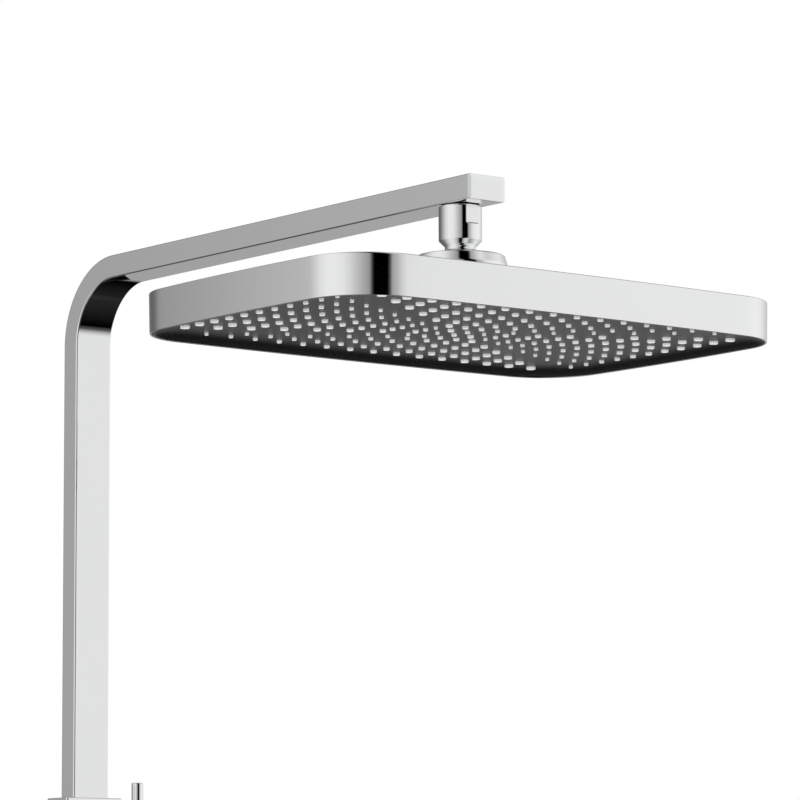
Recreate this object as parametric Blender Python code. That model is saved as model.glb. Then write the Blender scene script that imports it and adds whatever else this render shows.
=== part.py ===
"""Rainfall shower column: a flat rectangular riser bent into an arm, a rounded-rectangle rain head
on a ball joint, a clamped handset slider, two wall brackets and a water inlet at the foot.

Metres. +X runs along the wall, +Y points into the wall, whose surface is Y = 0, and +Z is up.
The origin is the centre of the upper wall plate's back face.
"""
from math import cos, pi, radians, sin, sqrt

import bmesh
import bpy
from mathutils import Matrix, Vector

# ---- Driving dimensions ---------------------------------------------------------------------
GAP = 0.0003                    # clearance between pieces that fit or rest on each other

# Riser and arm
TUBE_WIDTH = 0.029              # along the wall
TUBE_DEPTH = 0.016              # out of the wall, and the arm's height
TUBE_WALL = 0.0015
TUBE_EDGE = 0.0011              # rounding of the tube's long edges
BEND_RADIUS = 0.059             # outside of the bend
ARM_REACH = 0.458               # riser's back face to the arm's free end
WALL_GAP = 0.045                # wall to the riser's back face
ARM_TOP = 0.520                 # above the upper bracket
FOOT_DEPTH = 0.500              # foot of the tube, below the upper bracket
CAP_PLATE = 0.002
CAP_PLUG = 0.008                # plate's outside to the plug's end

# Water way
PIPE_RADIUS = 0.004
PIPE_BORE = 0.003
PIPE_INSERT = 0.0045            # pipe inside the block at each of its ends
NIPPLE_RADIUS = 0.0103
NIPPLE_BORE = 0.0072
OUTLET_BLOCK_LENGTH = 0.034
OUTLET_BORE_RISE = 0.003        # arm's centre line to the top of the nipple's bore
LIMITER_BORE = 0.0016
LIMITER_HEIGHT = 0.003
LIMITER_RISE = 0.002            # nipple's lower end to the limiter
FOOT_CAP_HEIGHT = 0.004
INLET_BODY_HEIGHT = 0.022
INLET_NECK = 0.0052
INLET_LENGTH = 0.0155
GASKET_HEIGHT = 0.002

# Ball joint
NUT_SETBACK = 0.0272            # arm's free end to the nut's axis
NUT_RADIUS = 0.0138
NUT_HEIGHT = 0.0242
NUT_CHAMFER = 0.003
NUT_FLAT_DEPTH = 0.00105
NUT_FLAT_HEIGHT = 0.0103
NUT_LIP = 0.0012
NUT_LIP_SLOPE = 0.001
WASHER_RADIUS = 0.0132
WASHER_THICKNESS = 0.0008
BALL_RADIUS = 0.0095
BALL_DROP = 0.0194              # arm's underside to the ball's centre
BALL_TURNS = range(20, 141, 12)  # degrees off +Z of the ball's rows of points
SEAT_THICKNESS = 0.001
UPPER_SEAT = (24, 52)           # degrees off +Z where each seat starts and ends
LOWER_SEAT = (78, 99)
SEAT_STEPS = 3
FILTER_THICKNESS = 0.0012
FILTER_BORE = 0.0062
WAIST_RADIUS = 0.0056
WAIST_HEIGHT = 0.0004           # ball to the collar
COLLAR_RADIUS = 0.0100
COLLAR_HEIGHT = 0.0015          # collar's top to the boss's top
COLLAR_CHAMFER = 0.001
SHANK_RADIUS = 0.008
STEM_BORE = 0.0032

# Rain head
HEAD_LENGTH = 0.359             # along the wall, at the lower edge
HEAD_WIDTH = 0.2435
HEAD_HEIGHT = 0.0258
CORNER_RADIUS = 0.043
LONG_SIDE_TURN = 2.4            # degrees that each half of a long side curves through
SHORT_SIDE_TURN = 3.0
RIM_FLARE = 0.0005              # how far the rim's top stands out beyond its lower edge
RIM_WALL = 0.0012
RIM_EDGE = 0.0008
BOSS_HEIGHT = 0.0307
BOSS_SHOULDER = 0.0278          # radius where the shallow cone ends
BOSS_SHOULDER_FALL = 0.0036
BOSS_FLARE = 0.0298
BOSS_FLARE_FALL = 0.0096
BOSS_FOOT = 0.0310
BOSS_WALL = 0.0022
BOSS_SLEEVE = 0.004             # wall round the stem inside the boss
FACE_RECESS = 0.0044
FACE_THICKNESS = 0.0018
MAT_THICKNESS = 0.002
CHAMBER_HEIGHT = 0.0034
SEAL_WIDTH = 0.004
PLATE_THICKNESS = 0.0025
PLATE_INFLOW = 0.0052           # radius of the hole under the stem
LOCKNUT_RADIUS = 0.015
LOCKNUT_HEIGHT = 0.005
STUD_SPREAD_X = 0.118
STUD_SPREAD_Y = 0.066
STUD_RADIUS = 0.004
STUD_CROWN = 0.003              # solid end above the screw's hole
PLATE_SCREW_RADIUS = 0.002
PLATE_SCREW_HEAD = 0.0038
SCREW_HEAD_HEIGHT = 0.0016
SCREW_TIP_ROOM = 0.001          # screw's tip to the end of its hole

# Handset slider
SLIDER_DROP = 0.378             # arm's top to the block's top
SLIDER_HEIGHT = 0.042
SLIDER_SIDE = 0.0088            # block beyond the tube at each side
SLIDER_FRONT = 0.0047           # and at the front and the back
SLIDER_EDGE = 0.0015
LINER_WALL = 0.0012
LINER_SETBACK = 0.001           # liner's ends inside the block's
SPINDLE_RADIUS = 0.003
HUB_RADIUS = 0.0075
HUB_DROP = 0.021                # block's top to the clamp's axis
HUB_OVERHANG = 0.007            # hub beyond the lever rod's axis
HUB_CHAMFER = 0.001
LEVER_OFFSET = 0.0448           # tube's centre to the lever rod's axis
LEVER_RADIUS = 0.0041
LEVER_RISE = 0.0118             # lever rod above the block's top
LEVER_CHAMFER = 0.0008
PAD_RADIUS = 0.0045
PAD_THICKNESS = 0.0016
NECK_RADIUS = 0.007
NECK_LENGTH = 0.012
TONGUE_HALF = 0.004
WEB_INSET = 0.0005              # how far a joining web stays inside the round it meets
PIVOT_REACH = 0.0205            # block's front to the socket's pivot
PIVOT_RADIUS = 0.002
PIVOT_HEAD_RADIUS = 0.0035
PIVOT_HEAD_HEIGHT = 0.0018
EAR_THICKNESS = 0.0035
EAR_RADIUS = 0.0072
SOCKET_RADIUS = 0.0165
SOCKET_NECK_ROOM = 0.0025       # neck's end to the socket's wall
SOCKET_CHAMFER = 0.001
SOCKET_HEIGHT = 0.026
SOCKET_TOP_BORE = 0.0125
SOCKET_FOOT_BORE = 0.0110
SOCKET_SLOT = 0.015             # front opening that lets the hose in

# Wall brackets
BRACKET_SPACING = 0.440
PLATE_RADIUS = 0.0205
BRACKET_PLATE = 0.005
SPIGOT_RADIUS = 0.006
SPIGOT_LENGTH = 0.008
ROSETTE_RADIUS = 0.025
ROSETTE_DEPTH = 0.010
ROSETTE_WALL = 0.0012
ROSETTE_EDGE = 0.0016
POST_RADIUS = 0.009
POST_STUD_RADIUS = 0.003
POST_STUD_DEPTH = 0.009         # stud inside the post
POST_STUD_REACH = 0.0012        # stud beyond the tube's wall
WALL_SCREW_SPREAD = 0.014
WALL_SCREW_RADIUS = 0.002
WALL_SCREW_HEAD = 0.0038
WALL_SCREW_RIM = 0.0012         # height of the head at its edge and at its middle
WALL_SCREW_CROWN = 0.002
GRUB_RADIUS = 0.0015
GRUB_SINK = 0.0004              # grub screw below the post's surface

# Facets and cutters
TURN_STEPS = 24                 # facets of a large turned piece
SMALL_STEPS = 12
PIPE_STEPS = 10
BEND_STEPS = 12
MERGE = 1e-6                    # points closer than this become one
PASS = 0.001                    # how far a cutter passes the surface it opens
SQUARE = 0.0003                 # corner rounding of square-edged blocks

# ---- Places worked out from them ------------------------------------------------------------
TUBE_CENTRE_Y = -(WALL_GAP + TUBE_DEPTH / 2)
BEND_CENTRE = Vector((0, -(WALL_GAP + BEND_RADIUS), ARM_TOP - BEND_RADIUS))
ARM_CENTRE_Z = ARM_TOP - TUBE_DEPTH / 2
ARM_UNDER = ARM_TOP - TUBE_DEPTH
ARM_END_Y = -(WALL_GAP + ARM_REACH)
NUT_Y = ARM_END_Y + NUT_SETBACK
FOOT_Z = -FOOT_DEPTH
INNER_WIDTH = TUBE_WIDTH - 2 * TUBE_WALL
INNER_DEPTH = TUBE_DEPTH - 2 * TUBE_WALL
BALL_CENTRE = Vector((0, NUT_Y, ARM_UNDER - BALL_DROP))
WAIST_Z = -sqrt(BALL_RADIUS ** 2 - WAIST_RADIUS ** 2)      # below the ball's centre, as are the next
COLLAR_TOP = WAIST_Z - WAIST_HEIGHT
BOSS_TOP = COLLAR_TOP - COLLAR_HEIGHT
HEAD_TOP = BOSS_TOP - BOSS_HEIGHT
HEAD_FOOT = HEAD_TOP - HEAD_HEIGHT
PLATE_LOW = HEAD_FOOT + FACE_RECESS + FACE_THICKNESS + MAT_THICKNESS + CHAMBER_HEIGHT + 3 * GAP
PLATE_HIGH = PLATE_LOW + PLATE_THICKNESS
SEAT_OUTSIDE = BALL_RADIUS + GAP + SEAT_THICKNESS
FILTER_LOW = SEAT_OUTSIDE + GAP             # above the ball's centre
NIPPLE_LOW = FILTER_LOW + FILTER_THICKNESS + GAP
SLIDER_CENTRE = Vector((0, TUBE_CENTRE_Y, ARM_TOP - SLIDER_DROP - HUB_DROP))
PIVOT_CENTRE = SLIDER_CENTRE - Vector((0, TUBE_DEPTH / 2 + SLIDER_FRONT + PIVOT_REACH, 0))


# ---- Scene, materials and placing -----------------------------------------------------------
def clear_scene():
    """Remove the start-up objects."""
    for item in list(bpy.data.objects):
        bpy.data.objects.remove(item, do_unlink=True)


def make_material(name, colour, roughness, metallic):
    """A Principled material of one colour."""
    material = bpy.data.materials.new(name)
    material.use_nodes = True
    shader = material.node_tree.nodes["Principled BSDF"]
    shader.inputs["Base Color"].default_value = (*colour, 1)
    shader.inputs["Roughness"].default_value = roughness
    shader.inputs["Metallic"].default_value = metallic
    material.diffuse_color = (*colour, 1)
    return material


def make_body(name, place):
    """An empty on a joint's axis, which carries the pieces that move together."""
    empty = bpy.data.objects.new(name, None)
    empty.empty_display_size = 0.02
    empty.location = place
    bpy.context.collection.objects.link(empty)
    return empty


def add_piece(name, bm, material, body, place=(0, 0, 0), along=(0, 0, 1)):
    """Turn a bmesh into an object on a body, with its local +Z laid along a direction."""
    bmesh.ops.remove_doubles(bm, verts=bm.verts, dist=MERGE)
    turn = Vector((0, 0, 1)).rotation_difference(Vector(along)).to_matrix()
    bmesh.ops.transform(bm, matrix=turn.to_4x4(), verts=bm.verts)
    bmesh.ops.recalc_face_normals(bm, faces=bm.faces)
    mesh = bpy.data.meshes.new(name)
    bm.to_mesh(mesh)
    bm.free()
    mesh.shade_smooth()
    mesh.set_sharp_from_angle(angle=radians(35))
    piece = bpy.data.objects.new(name, mesh)
    bpy.context.collection.objects.link(piece)
    piece.parent = body
    piece.location = Vector(place)
    if material:
        mesh.materials.append(material)
    return piece


def combine(piece, other, operation):
    """Cut one piece with another, or join it on, by an exact Boolean. The other is only a guide."""
    other.hide_render = True
    other.display_type = "WIRE"
    modifier = piece.modifiers.new(operation.lower(), "BOOLEAN")
    modifier.operation = operation
    modifier.solver = "EXACT"
    modifier.object = other


# ---- Shapes ---------------------------------------------------------------------------------
def turned(profile, steps=TURN_STEPS):
    """Spin a profile of (radius, height) points about Z. It is closed unless it starts on the axis."""
    bm = bmesh.new()
    verts = [bm.verts.new((r, 0, h)) for r, h in profile]
    pairs = list(zip(verts, verts[1:]))
    if profile[0][0] > 0:
        pairs.append((verts[-1], verts[0]))
    edges = [bm.edges.new(pair) for pair in pairs]
    bmesh.ops.spin(bm, geom=verts + edges, cent=(0, 0, 0), axis=(0, 0, 1), angle=2 * pi, steps=steps)
    bmesh.ops.remove_doubles(bm, verts=bm.verts, dist=MERGE)
    return bm


def lofted(rings, closed=False):
    """Join rings with the same number of points by quads. Ends are capped unless it is closed."""
    bm = bmesh.new()
    rows = [[bm.verts.new(point) for point in ring] for ring in rings]
    count = len(rows[0])
    pairs = list(zip(rows, rows[1:]))
    if closed:
        pairs.append((rows[-1], rows[0]))
    for low, high in pairs:
        for i in range(count):
            j = (i + 1) % count
            bm.faces.new((low[i], low[j], high[j], high[i]))
    if not closed:
        bm.faces.new(rows[0])
        bm.faces.new(rows[-1])
    return bm


def rod(radius, low, high, steps=SMALL_STEPS, chamfer=0.0):
    """A round bar from low to high on Z, with an optional chamfer at both ends."""
    profile = [(0, low), (radius - chamfer, low)]
    if chamfer:
        profile += [(radius, low + chamfer), (radius, high - chamfer)]
    return turned(profile + [(radius - chamfer, high), (0, high)], steps)


def tube_ring(outer, inner, low, high, steps=SMALL_STEPS):
    """A round ring or sleeve."""
    return turned([(inner, low), (outer, low), (outer, high), (inner, high)], steps)


def rect_outline(width, depth, edge, steps=2):
    """Points of a rectangle in XY whose corners are rounded to a radius."""
    points = []
    for corner, (sx, sy) in enumerate(((1, 1), (-1, 1), (-1, -1), (1, -1))):
        for k in range(steps + 1):
            turn = radians(90 * (corner + k / steps))
            points.append((sx * (width / 2 - edge) + edge * cos(turn),
                           sy * (depth / 2 - edge) + edge * sin(turn)))
    return points


def at_height(outline, height):
    """An outline's points lifted to a height."""
    return [(x, y, height) for x, y in outline]


def block(width, depth, low, high, edge):
    """A bar of rounded rectangular section along Z."""
    outline = rect_outline(width, depth, edge)
    return lofted([at_height(outline, low), at_height(outline, high)])


def head_outline(inset):
    """The head's outline, moved inwards: bowed sides that run smoothly into round corners.

    A long side is an arc of radius a + r and a short side one of radius b + r, where r is the
    corner's. Each half side turns through its own angle, and the corner through what is left of
    the quarter, so a and b follow from the head's length and width. Insets keep all the centres.
    """
    long_turn, short_turn = radians(LONG_SIDE_TURN), radians(SHORT_SIDE_TURN)
    half_length = HEAD_LENGTH / 2 - CORNER_RADIUS
    half_width = HEAD_WIDTH / 2 - CORNER_RADIUS
    m = Matrix(((sin(long_turn), 1 - cos(short_turn)), (1 - cos(long_turn), sin(short_turn))))
    a, b = m.inverted() @ Vector((half_length, half_width))
    corner = CORNER_RADIUS - inset

    def quarter():
        for k in range(3):
            turn = long_turn * k / 3
            yield (a + corner) * sin(turn), half_width - a + (a + corner) * cos(turn)
        for k in range(9):
            turn = long_turn + (pi / 2 - short_turn - long_turn) * k / 8
            yield (a * sin(long_turn) + corner * sin(turn),
                   half_width - a + a * cos(long_turn) + corner * cos(turn))
        for k in range(1, 3):
            turn = short_turn * (1 - k / 3)
            yield half_length - b + (b + corner) * cos(turn), (b + corner) * sin(turn)

    first = list(quarter())
    tip = (half_length + corner, 0)
    right = first + [tip] + [(x, -y) for x, y in reversed(first)]
    return right + [(-x, y) for x, y in reversed(right[1:-1])]


def circle_like(outline, radius):
    """A circle with one point for each point of an outline, in the same directions."""
    return [tuple(Vector(point).normalized() * radius) for point in outline]


def sphere_band(radius, thickness, low_turn, high_turn, steps):
    """Profile of a band between two concentric spheres, from one angle off +Z to another."""
    turns = [low_turn + (high_turn - low_turn) * k / steps for k in range(steps + 1)]
    inner = [(radius * sin(radians(t)), radius * cos(radians(t))) for t in turns]
    outer = [(r * (radius + thickness) / radius, h * (radius + thickness) / radius) for r, h in inner]
    return inner + outer[::-1]


def bent_rings(ring, foot, arm_end):
    """Copies of a ring of XY points up the riser, round the bend and at the arm's end."""
    def bent(x, y, turn, along_arm=0.0):
        reach = TUBE_CENTRE_Y + y - BEND_CENTRE.y
        return x, BEND_CENTRE.y + reach * cos(turn) - along_arm, BEND_CENTRE.z + reach * sin(turn)

    rings = [[(x, TUBE_CENTRE_Y + y, foot) for x, y in ring]]
    for k in range(BEND_STEPS + 1):
        rings.append([bent(x, y, pi / 2 * k / BEND_STEPS) for x, y in ring])
    rings.append([bent(x, y, pi / 2, BEND_CENTRE.y - arm_end) for x, y in ring])
    return rings


def bent_tube(outer_ring, inner_ring, foot, arm_end):
    """A hollow tube, open at both ends, along the riser and the arm."""
    outside = bent_rings(outer_ring, foot, arm_end)
    inside = bent_rings(inner_ring, foot, arm_end)
    return lofted(outside + inside[::-1], closed=True)


def circle(radius, steps):
    """Points of a circle in XY."""
    return [(radius * cos(2 * pi * k / steps), radius * sin(2 * pi * k / steps)) for k in range(steps)]


# ---- Riser, arm and water way ---------------------------------------------------------------
def build_riser(column, mats):
    outer = rect_outline(TUBE_WIDTH, TUBE_DEPTH, TUBE_EDGE)
    inner = rect_outline(INNER_WIDTH, INNER_DEPTH, TUBE_EDGE / 2)
    tube_end = ARM_END_Y + CAP_PLATE + GAP
    bm = bent_tube(outer, inner, FOOT_Z, tube_end)
    riser = add_piece("riser_tube", bm, mats["chrome"], column)
    outlet_hole = add_piece("outlet_hole_cutter", rod(NIPPLE_RADIUS + GAP, -TUBE_DEPTH, 0, TURN_STEPS),
                            None, column, (0, NUT_Y, ARM_CENTRE_Z))
    combine(riser, outlet_hole, "DIFFERENCE")
    for label, height in (("upper", 0.0), ("lower", -BRACKET_SPACING)):
        hole = add_piece(label + "_stud_hole_cutter", rod(POST_STUD_RADIUS + GAP, 0, TUBE_DEPTH / 2), None,
                         column, (0, TUBE_CENTRE_Y, height), (0, 1, 0))
        combine(riser, hole, "DIFFERENCE")

    plug = rect_outline(INNER_WIDTH - 2 * GAP, INNER_DEPTH - 2 * GAP, TUBE_EDGE / 2)
    cap = lofted([at_height(outer, 0), at_height(outer, CAP_PLATE),
                  at_height(plug, CAP_PLATE), at_height(plug, CAP_PLUG)])
    add_piece("arm_end_cap", cap, mats["chrome"], column, (0, ARM_END_Y, ARM_CENTRE_Z), (0, 1, 0))


def build_water_way(column, mats):
    block_width, block_depth = INNER_WIDTH - 2 * GAP, INNER_DEPTH - 2 * GAP
    block_back = NUT_Y + OUTLET_BLOCK_LENGTH / 2
    block_front = ARM_END_Y + CAP_PLUG + GAP
    pipe_hole = PIPE_RADIUS + GAP
    pipe_end = block_back - PIPE_INSERT
    pipe_foot = FOOT_Z + INLET_BODY_HEIGHT - PIPE_INSERT
    pipe = bent_tube(circle(PIPE_RADIUS, PIPE_STEPS), circle(PIPE_BORE, PIPE_STEPS), pipe_foot, pipe_end)
    add_piece("water_pipe", pipe, mats["plastic"], column)

    body = block(block_width, block_depth, 0, block_back - block_front, TUBE_EDGE / 2)
    outlet = add_piece("outlet_block", body, mats["brass"], column, (0, block_front, ARM_CENTRE_Z),
                       (0, 1, 0))
    down_bore = rod(NIPPLE_RADIUS + GAP, -TUBE_DEPTH, OUTLET_BORE_RISE, TURN_STEPS)
    down_bore = add_piece("down_bore_cutter", down_bore, None, column, (0, NUT_Y, ARM_CENTRE_Z))
    pipe_bore = add_piece("pipe_bore_cutter", rod(pipe_hole, 0, OUTLET_BLOCK_LENGTH), None, column,
                          (0, NUT_Y, ARM_CENTRE_Z), (0, 1, 0))
    combine(outlet, down_bore, "DIFFERENCE")
    combine(outlet, pipe_bore, "DIFFERENCE")

    nipple_low = BALL_CENTRE.z + NIPPLE_LOW
    nipple_high = ARM_CENTRE_Z - PIPE_RADIUS
    nipple = tube_ring(NIPPLE_RADIUS, NIPPLE_BORE, nipple_low, nipple_high, TURN_STEPS)
    add_piece("outlet_nipple", nipple, mats["brass"], column, (0, NUT_Y, 0))
    limiter = tube_ring(NIPPLE_BORE - GAP, LIMITER_BORE, 0, LIMITER_HEIGHT)
    add_piece("flow_limiter", limiter, mats["plastic"], column, (0, NUT_Y, nipple_low + LIMITER_RISE))

    cap_high = FOOT_Z - GAP
    cap_low = cap_high - FOOT_CAP_HEIGHT
    cap = add_piece("foot_cap", block(TUBE_WIDTH, TUBE_DEPTH, 0, FOOT_CAP_HEIGHT, TUBE_EDGE), mats["chrome"],
                    column, (0, TUBE_CENTRE_Y, cap_low))
    cap_hole = rod(INLET_NECK + GAP, -PASS, FOOT_CAP_HEIGHT + PASS, TURN_STEPS)
    cap_hole = add_piece("foot_cap_cutter", cap_hole, None, column, (0, TUBE_CENTRE_Y, cap_low))
    combine(cap, cap_hole, "DIFFERENCE")

    body = block(block_width, block_depth, 0, INLET_BODY_HEIGHT, TUBE_EDGE / 2)
    inlet = add_piece("inlet_body", body, mats["brass"], column, (0, TUBE_CENTRE_Y, FOOT_Z))
    neck_rise = INLET_BODY_HEIGHT / 2
    low_bore = add_piece("inlet_neck_cutter", rod(INLET_NECK + GAP, -PASS, neck_rise, TURN_STEPS), None,
                         column, (0, TUBE_CENTRE_Y, FOOT_Z))
    high_bore = add_piece("inlet_pipe_cutter", rod(pipe_hole, neck_rise / 2, INLET_BODY_HEIGHT + PASS),
                          None, column, (0, TUBE_CENTRE_Y, FOOT_Z))
    combine(inlet, low_bore, "DIFFERENCE")
    combine(inlet, high_bore, "DIFFERENCE")

    inlet_low = cap_low - GAP - INLET_LENGTH
    neck_top = FOOT_Z + neck_rise - GASKET_HEIGHT - 2 * GAP
    profile = [(PIPE_BORE, inlet_low), (NIPPLE_RADIUS, inlet_low), (NIPPLE_RADIUS, cap_low - GAP),
               (INLET_NECK, cap_low - GAP), (INLET_NECK, neck_top), (PIPE_BORE, neck_top)]
    add_piece("inlet_nipple", turned(profile), mats["chrome"], column, (0, TUBE_CENTRE_Y, 0))
    gasket_low = neck_top + GAP
    gasket = tube_ring(INLET_NECK, PIPE_BORE, gasket_low, gasket_low + GASKET_HEIGHT)
    add_piece("inlet_gasket", gasket, mats["rubber"], column, (0, TUBE_CENTRE_Y, 0))


# ---- Ball joint -----------------------------------------------------------------------------
def build_joint(column, seat_spin, seat_tilt, head, mats):
    """The nut and washers stay on the column. Heights in profiles are measured from the ball."""
    washer_high = BALL_DROP - GAP
    washer_low = washer_high - WASHER_THICKNESS
    nut_top = washer_low - GAP
    nut_foot = nut_top - NUT_HEIGHT
    place = BALL_CENTRE
    thread = NIPPLE_RADIUS + GAP
    washer = tube_ring(WASHER_RADIUS, thread, washer_low, washer_high, TURN_STEPS)
    add_piece("arm_washer", washer, mats["rubber"], column, place)

    chamber = SEAT_OUTSIDE + GAP
    lip = sqrt((BALL_RADIUS + GAP) ** 2 - (nut_foot + NUT_LIP) ** 2)
    chamber_high = NIPPLE_LOW - GAP
    profile = [(lip, nut_foot), (NUT_RADIUS - NUT_CHAMFER, nut_foot), (NUT_RADIUS, nut_foot + NUT_CHAMFER),
               (NUT_RADIUS, nut_top), (thread, nut_top), (thread, chamber_high),
               (chamber, chamber_high), (chamber, nut_foot + NUT_LIP + NUT_LIP_SLOPE),
               (lip, nut_foot + NUT_LIP)]
    nut = add_piece("swivel_nut", turned(profile), mats["chrome"], column, place)
    for side in (1, -1):
        flat = block(2 * NUT_RADIUS, NUT_RADIUS, nut_top - NUT_FLAT_HEIGHT, nut_top + PASS, SQUARE)
        reach = NUT_RADIUS - NUT_FLAT_DEPTH + NUT_RADIUS / 2
        cutter = add_piece("nut_flat_cutter_" + ("back" if side > 0 else "front"), flat, None, column,
                           place + Vector((0, side * reach, 0)))
        combine(nut, cutter, "DIFFERENCE")
    filter_high = FILTER_LOW + FILTER_THICKNESS
    washer = tube_ring(thread - 2 * GAP, FILTER_BORE, FILTER_LOW, filter_high, TURN_STEPS)
    add_piece("filter_washer", washer, mats["rubber"], column, place)

    seat = BALL_RADIUS + GAP
    upper = turned(sphere_band(seat, SEAT_THICKNESS, *UPPER_SEAT, SEAT_STEPS))
    add_piece("upper_ball_seat", upper, mats["plastic"], seat_spin)
    lower = turned(sphere_band(seat, SEAT_THICKNESS, *LOWER_SEAT, SEAT_STEPS))
    add_piece("lower_ball_seat", lower, mats["plastic"], seat_tilt)

    ball = [(BALL_RADIUS * sin(radians(t)), BALL_RADIUS * cos(radians(t))) for t in BALL_TURNS]
    ball = [(r, h) for r, h in ball if (r > STEM_BORE if h > 0 else r > WAIST_RADIUS)]
    shank_low = PLATE_HIGH + GAP
    profile = ([(STEM_BORE, sqrt(BALL_RADIUS ** 2 - STEM_BORE ** 2))] + ball
               + [(WAIST_RADIUS, WAIST_Z), (WAIST_RADIUS, COLLAR_TOP),
                  (COLLAR_RADIUS - COLLAR_CHAMFER, COLLAR_TOP), (COLLAR_RADIUS, COLLAR_TOP - COLLAR_CHAMFER),
                  (COLLAR_RADIUS, BOSS_TOP), (SHANK_RADIUS, BOSS_TOP),
                  (SHANK_RADIUS, shank_low), (STEM_BORE, shank_low)])
    add_piece("ball_stem", turned(profile), mats["chrome"], head)


# ---- Rain head ------------------------------------------------------------------------------
def build_head(head, mats):
    """The whole head hangs from the ball's centre, so its heights are measured from there."""
    top, foot, neck = HEAD_TOP, HEAD_FOOT, BOSS_TOP
    bore = SHANK_RADIUS + GAP
    sleeve = bore + BOSS_SLEEVE
    rim_top = top + GAP
    profile = [(bore, neck - GAP), (COLLAR_RADIUS, neck - GAP), (BOSS_SHOULDER, neck - BOSS_SHOULDER_FALL),
               (BOSS_FLARE, neck - BOSS_FLARE_FALL), (BOSS_FOOT, rim_top), (BOSS_FOOT - BOSS_WALL, rim_top),
               (BOSS_FLARE - BOSS_WALL, neck - BOSS_FLARE_FALL - BOSS_WALL / 2),
               (BOSS_SHOULDER - BOSS_WALL, neck - BOSS_SHOULDER_FALL - BOSS_WALL),
               (sleeve, neck - 2 * BOSS_WALL), (sleeve, rim_top), (bore, rim_top)]
    add_piece("head_boss", turned(profile), mats["chrome"], head)

    outline = head_outline
    hole = circle_like(outline(0), bore)
    under_top = top - RIM_WALL
    rings = [(hole, under_top), (hole, top), (outline(-RIM_FLARE + RIM_EDGE), top),
             (outline(-RIM_FLARE + RIM_EDGE / 3), top - RIM_EDGE / 3),
             (outline(-RIM_FLARE), top - RIM_EDGE), (outline(0), foot), (outline(RIM_WALL), foot),
             (outline(RIM_WALL - RIM_FLARE / 2), under_top)]
    shell = lofted([at_height(ring, height) for ring, height in rings], closed=True)
    add_piece("head_shell", shell, mats["chrome"], head)

    inner = RIM_WALL + GAP
    face_low = foot + FACE_RECESS
    face_high = face_low + FACE_THICKNESS
    mat_low = face_high + GAP
    mat_high = mat_low + MAT_THICKNESS
    seal_low = mat_high + GAP
    seal_high = seal_low + CHAMBER_HEIGHT
    plain = outline(inner)
    add_piece("spray_plate", lofted([at_height(plain, face_low), at_height(plain, face_high)]),
              mats["face"], head)
    add_piece("nozzle_mat", lofted([at_height(plain, mat_low), at_height(plain, mat_high)]),
              mats["silicone"], head)
    narrow = outline(inner + SEAL_WIDTH)
    seal = lofted([at_height(narrow, seal_low), at_height(plain, seal_low), at_height(plain, seal_high),
                   at_height(narrow, seal_high)], closed=True)
    add_piece("chamber_seal", seal, mats["rubber"], head)

    inflow = circle_like(plain, PLATE_INFLOW)
    plate_rings = [at_height(inflow, PLATE_LOW), at_height(plain, PLATE_LOW), at_height(plain, PLATE_HIGH),
                   at_height(inflow, PLATE_HIGH)]
    plate = add_piece("distribution_plate", lofted(plate_rings, closed=True), mats["plastic"], head)

    nut_high = under_top - GAP
    locknut = tube_ring(LOCKNUT_RADIUS, bore, nut_high - LOCKNUT_HEIGHT, nut_high, TURN_STEPS)
    add_piece("stem_locknut", locknut, mats["brass"], head)

    hole = PLATE_SCREW_RADIUS + GAP
    stud_low, stud_high = PLATE_HIGH + GAP, under_top - GAP
    hole_top = stud_high - STUD_CROWN
    screw_seat = PLATE_LOW - GAP
    screw_low, screw_top = screw_seat - SCREW_HEAD_HEIGHT, hole_top - SCREW_TIP_ROOM
    spots = [(sx * STUD_SPREAD_X, sy * STUD_SPREAD_Y, 0) for sx in (-1, 1) for sy in (-1, 1)]
    for number, place in enumerate(spots, 1):
        stud = turned([(0, stud_high), (STUD_RADIUS, stud_high), (STUD_RADIUS, stud_low), (hole, stud_low),
                       (hole, hole_top), (0, hole_top)], SMALL_STEPS)
        add_piece("shell_stud_%d" % number, stud, mats["brass"], head, place)
        cutter = add_piece("plate_hole_cutter_%d" % number, rod(hole, PLATE_LOW - PASS, PLATE_HIGH + PASS),
                           None, head, place)
        combine(plate, cutter, "DIFFERENCE")
        screw = turned([(0, screw_low), (PLATE_SCREW_HEAD, screw_low), (PLATE_SCREW_HEAD, screw_seat),
                        (PLATE_SCREW_RADIUS, screw_seat), (PLATE_SCREW_RADIUS, screw_top), (0, screw_top)],
                       SMALL_STEPS)
        add_piece("plate_screw_%d" % number, screw, mats["steel"], head, place)


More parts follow.
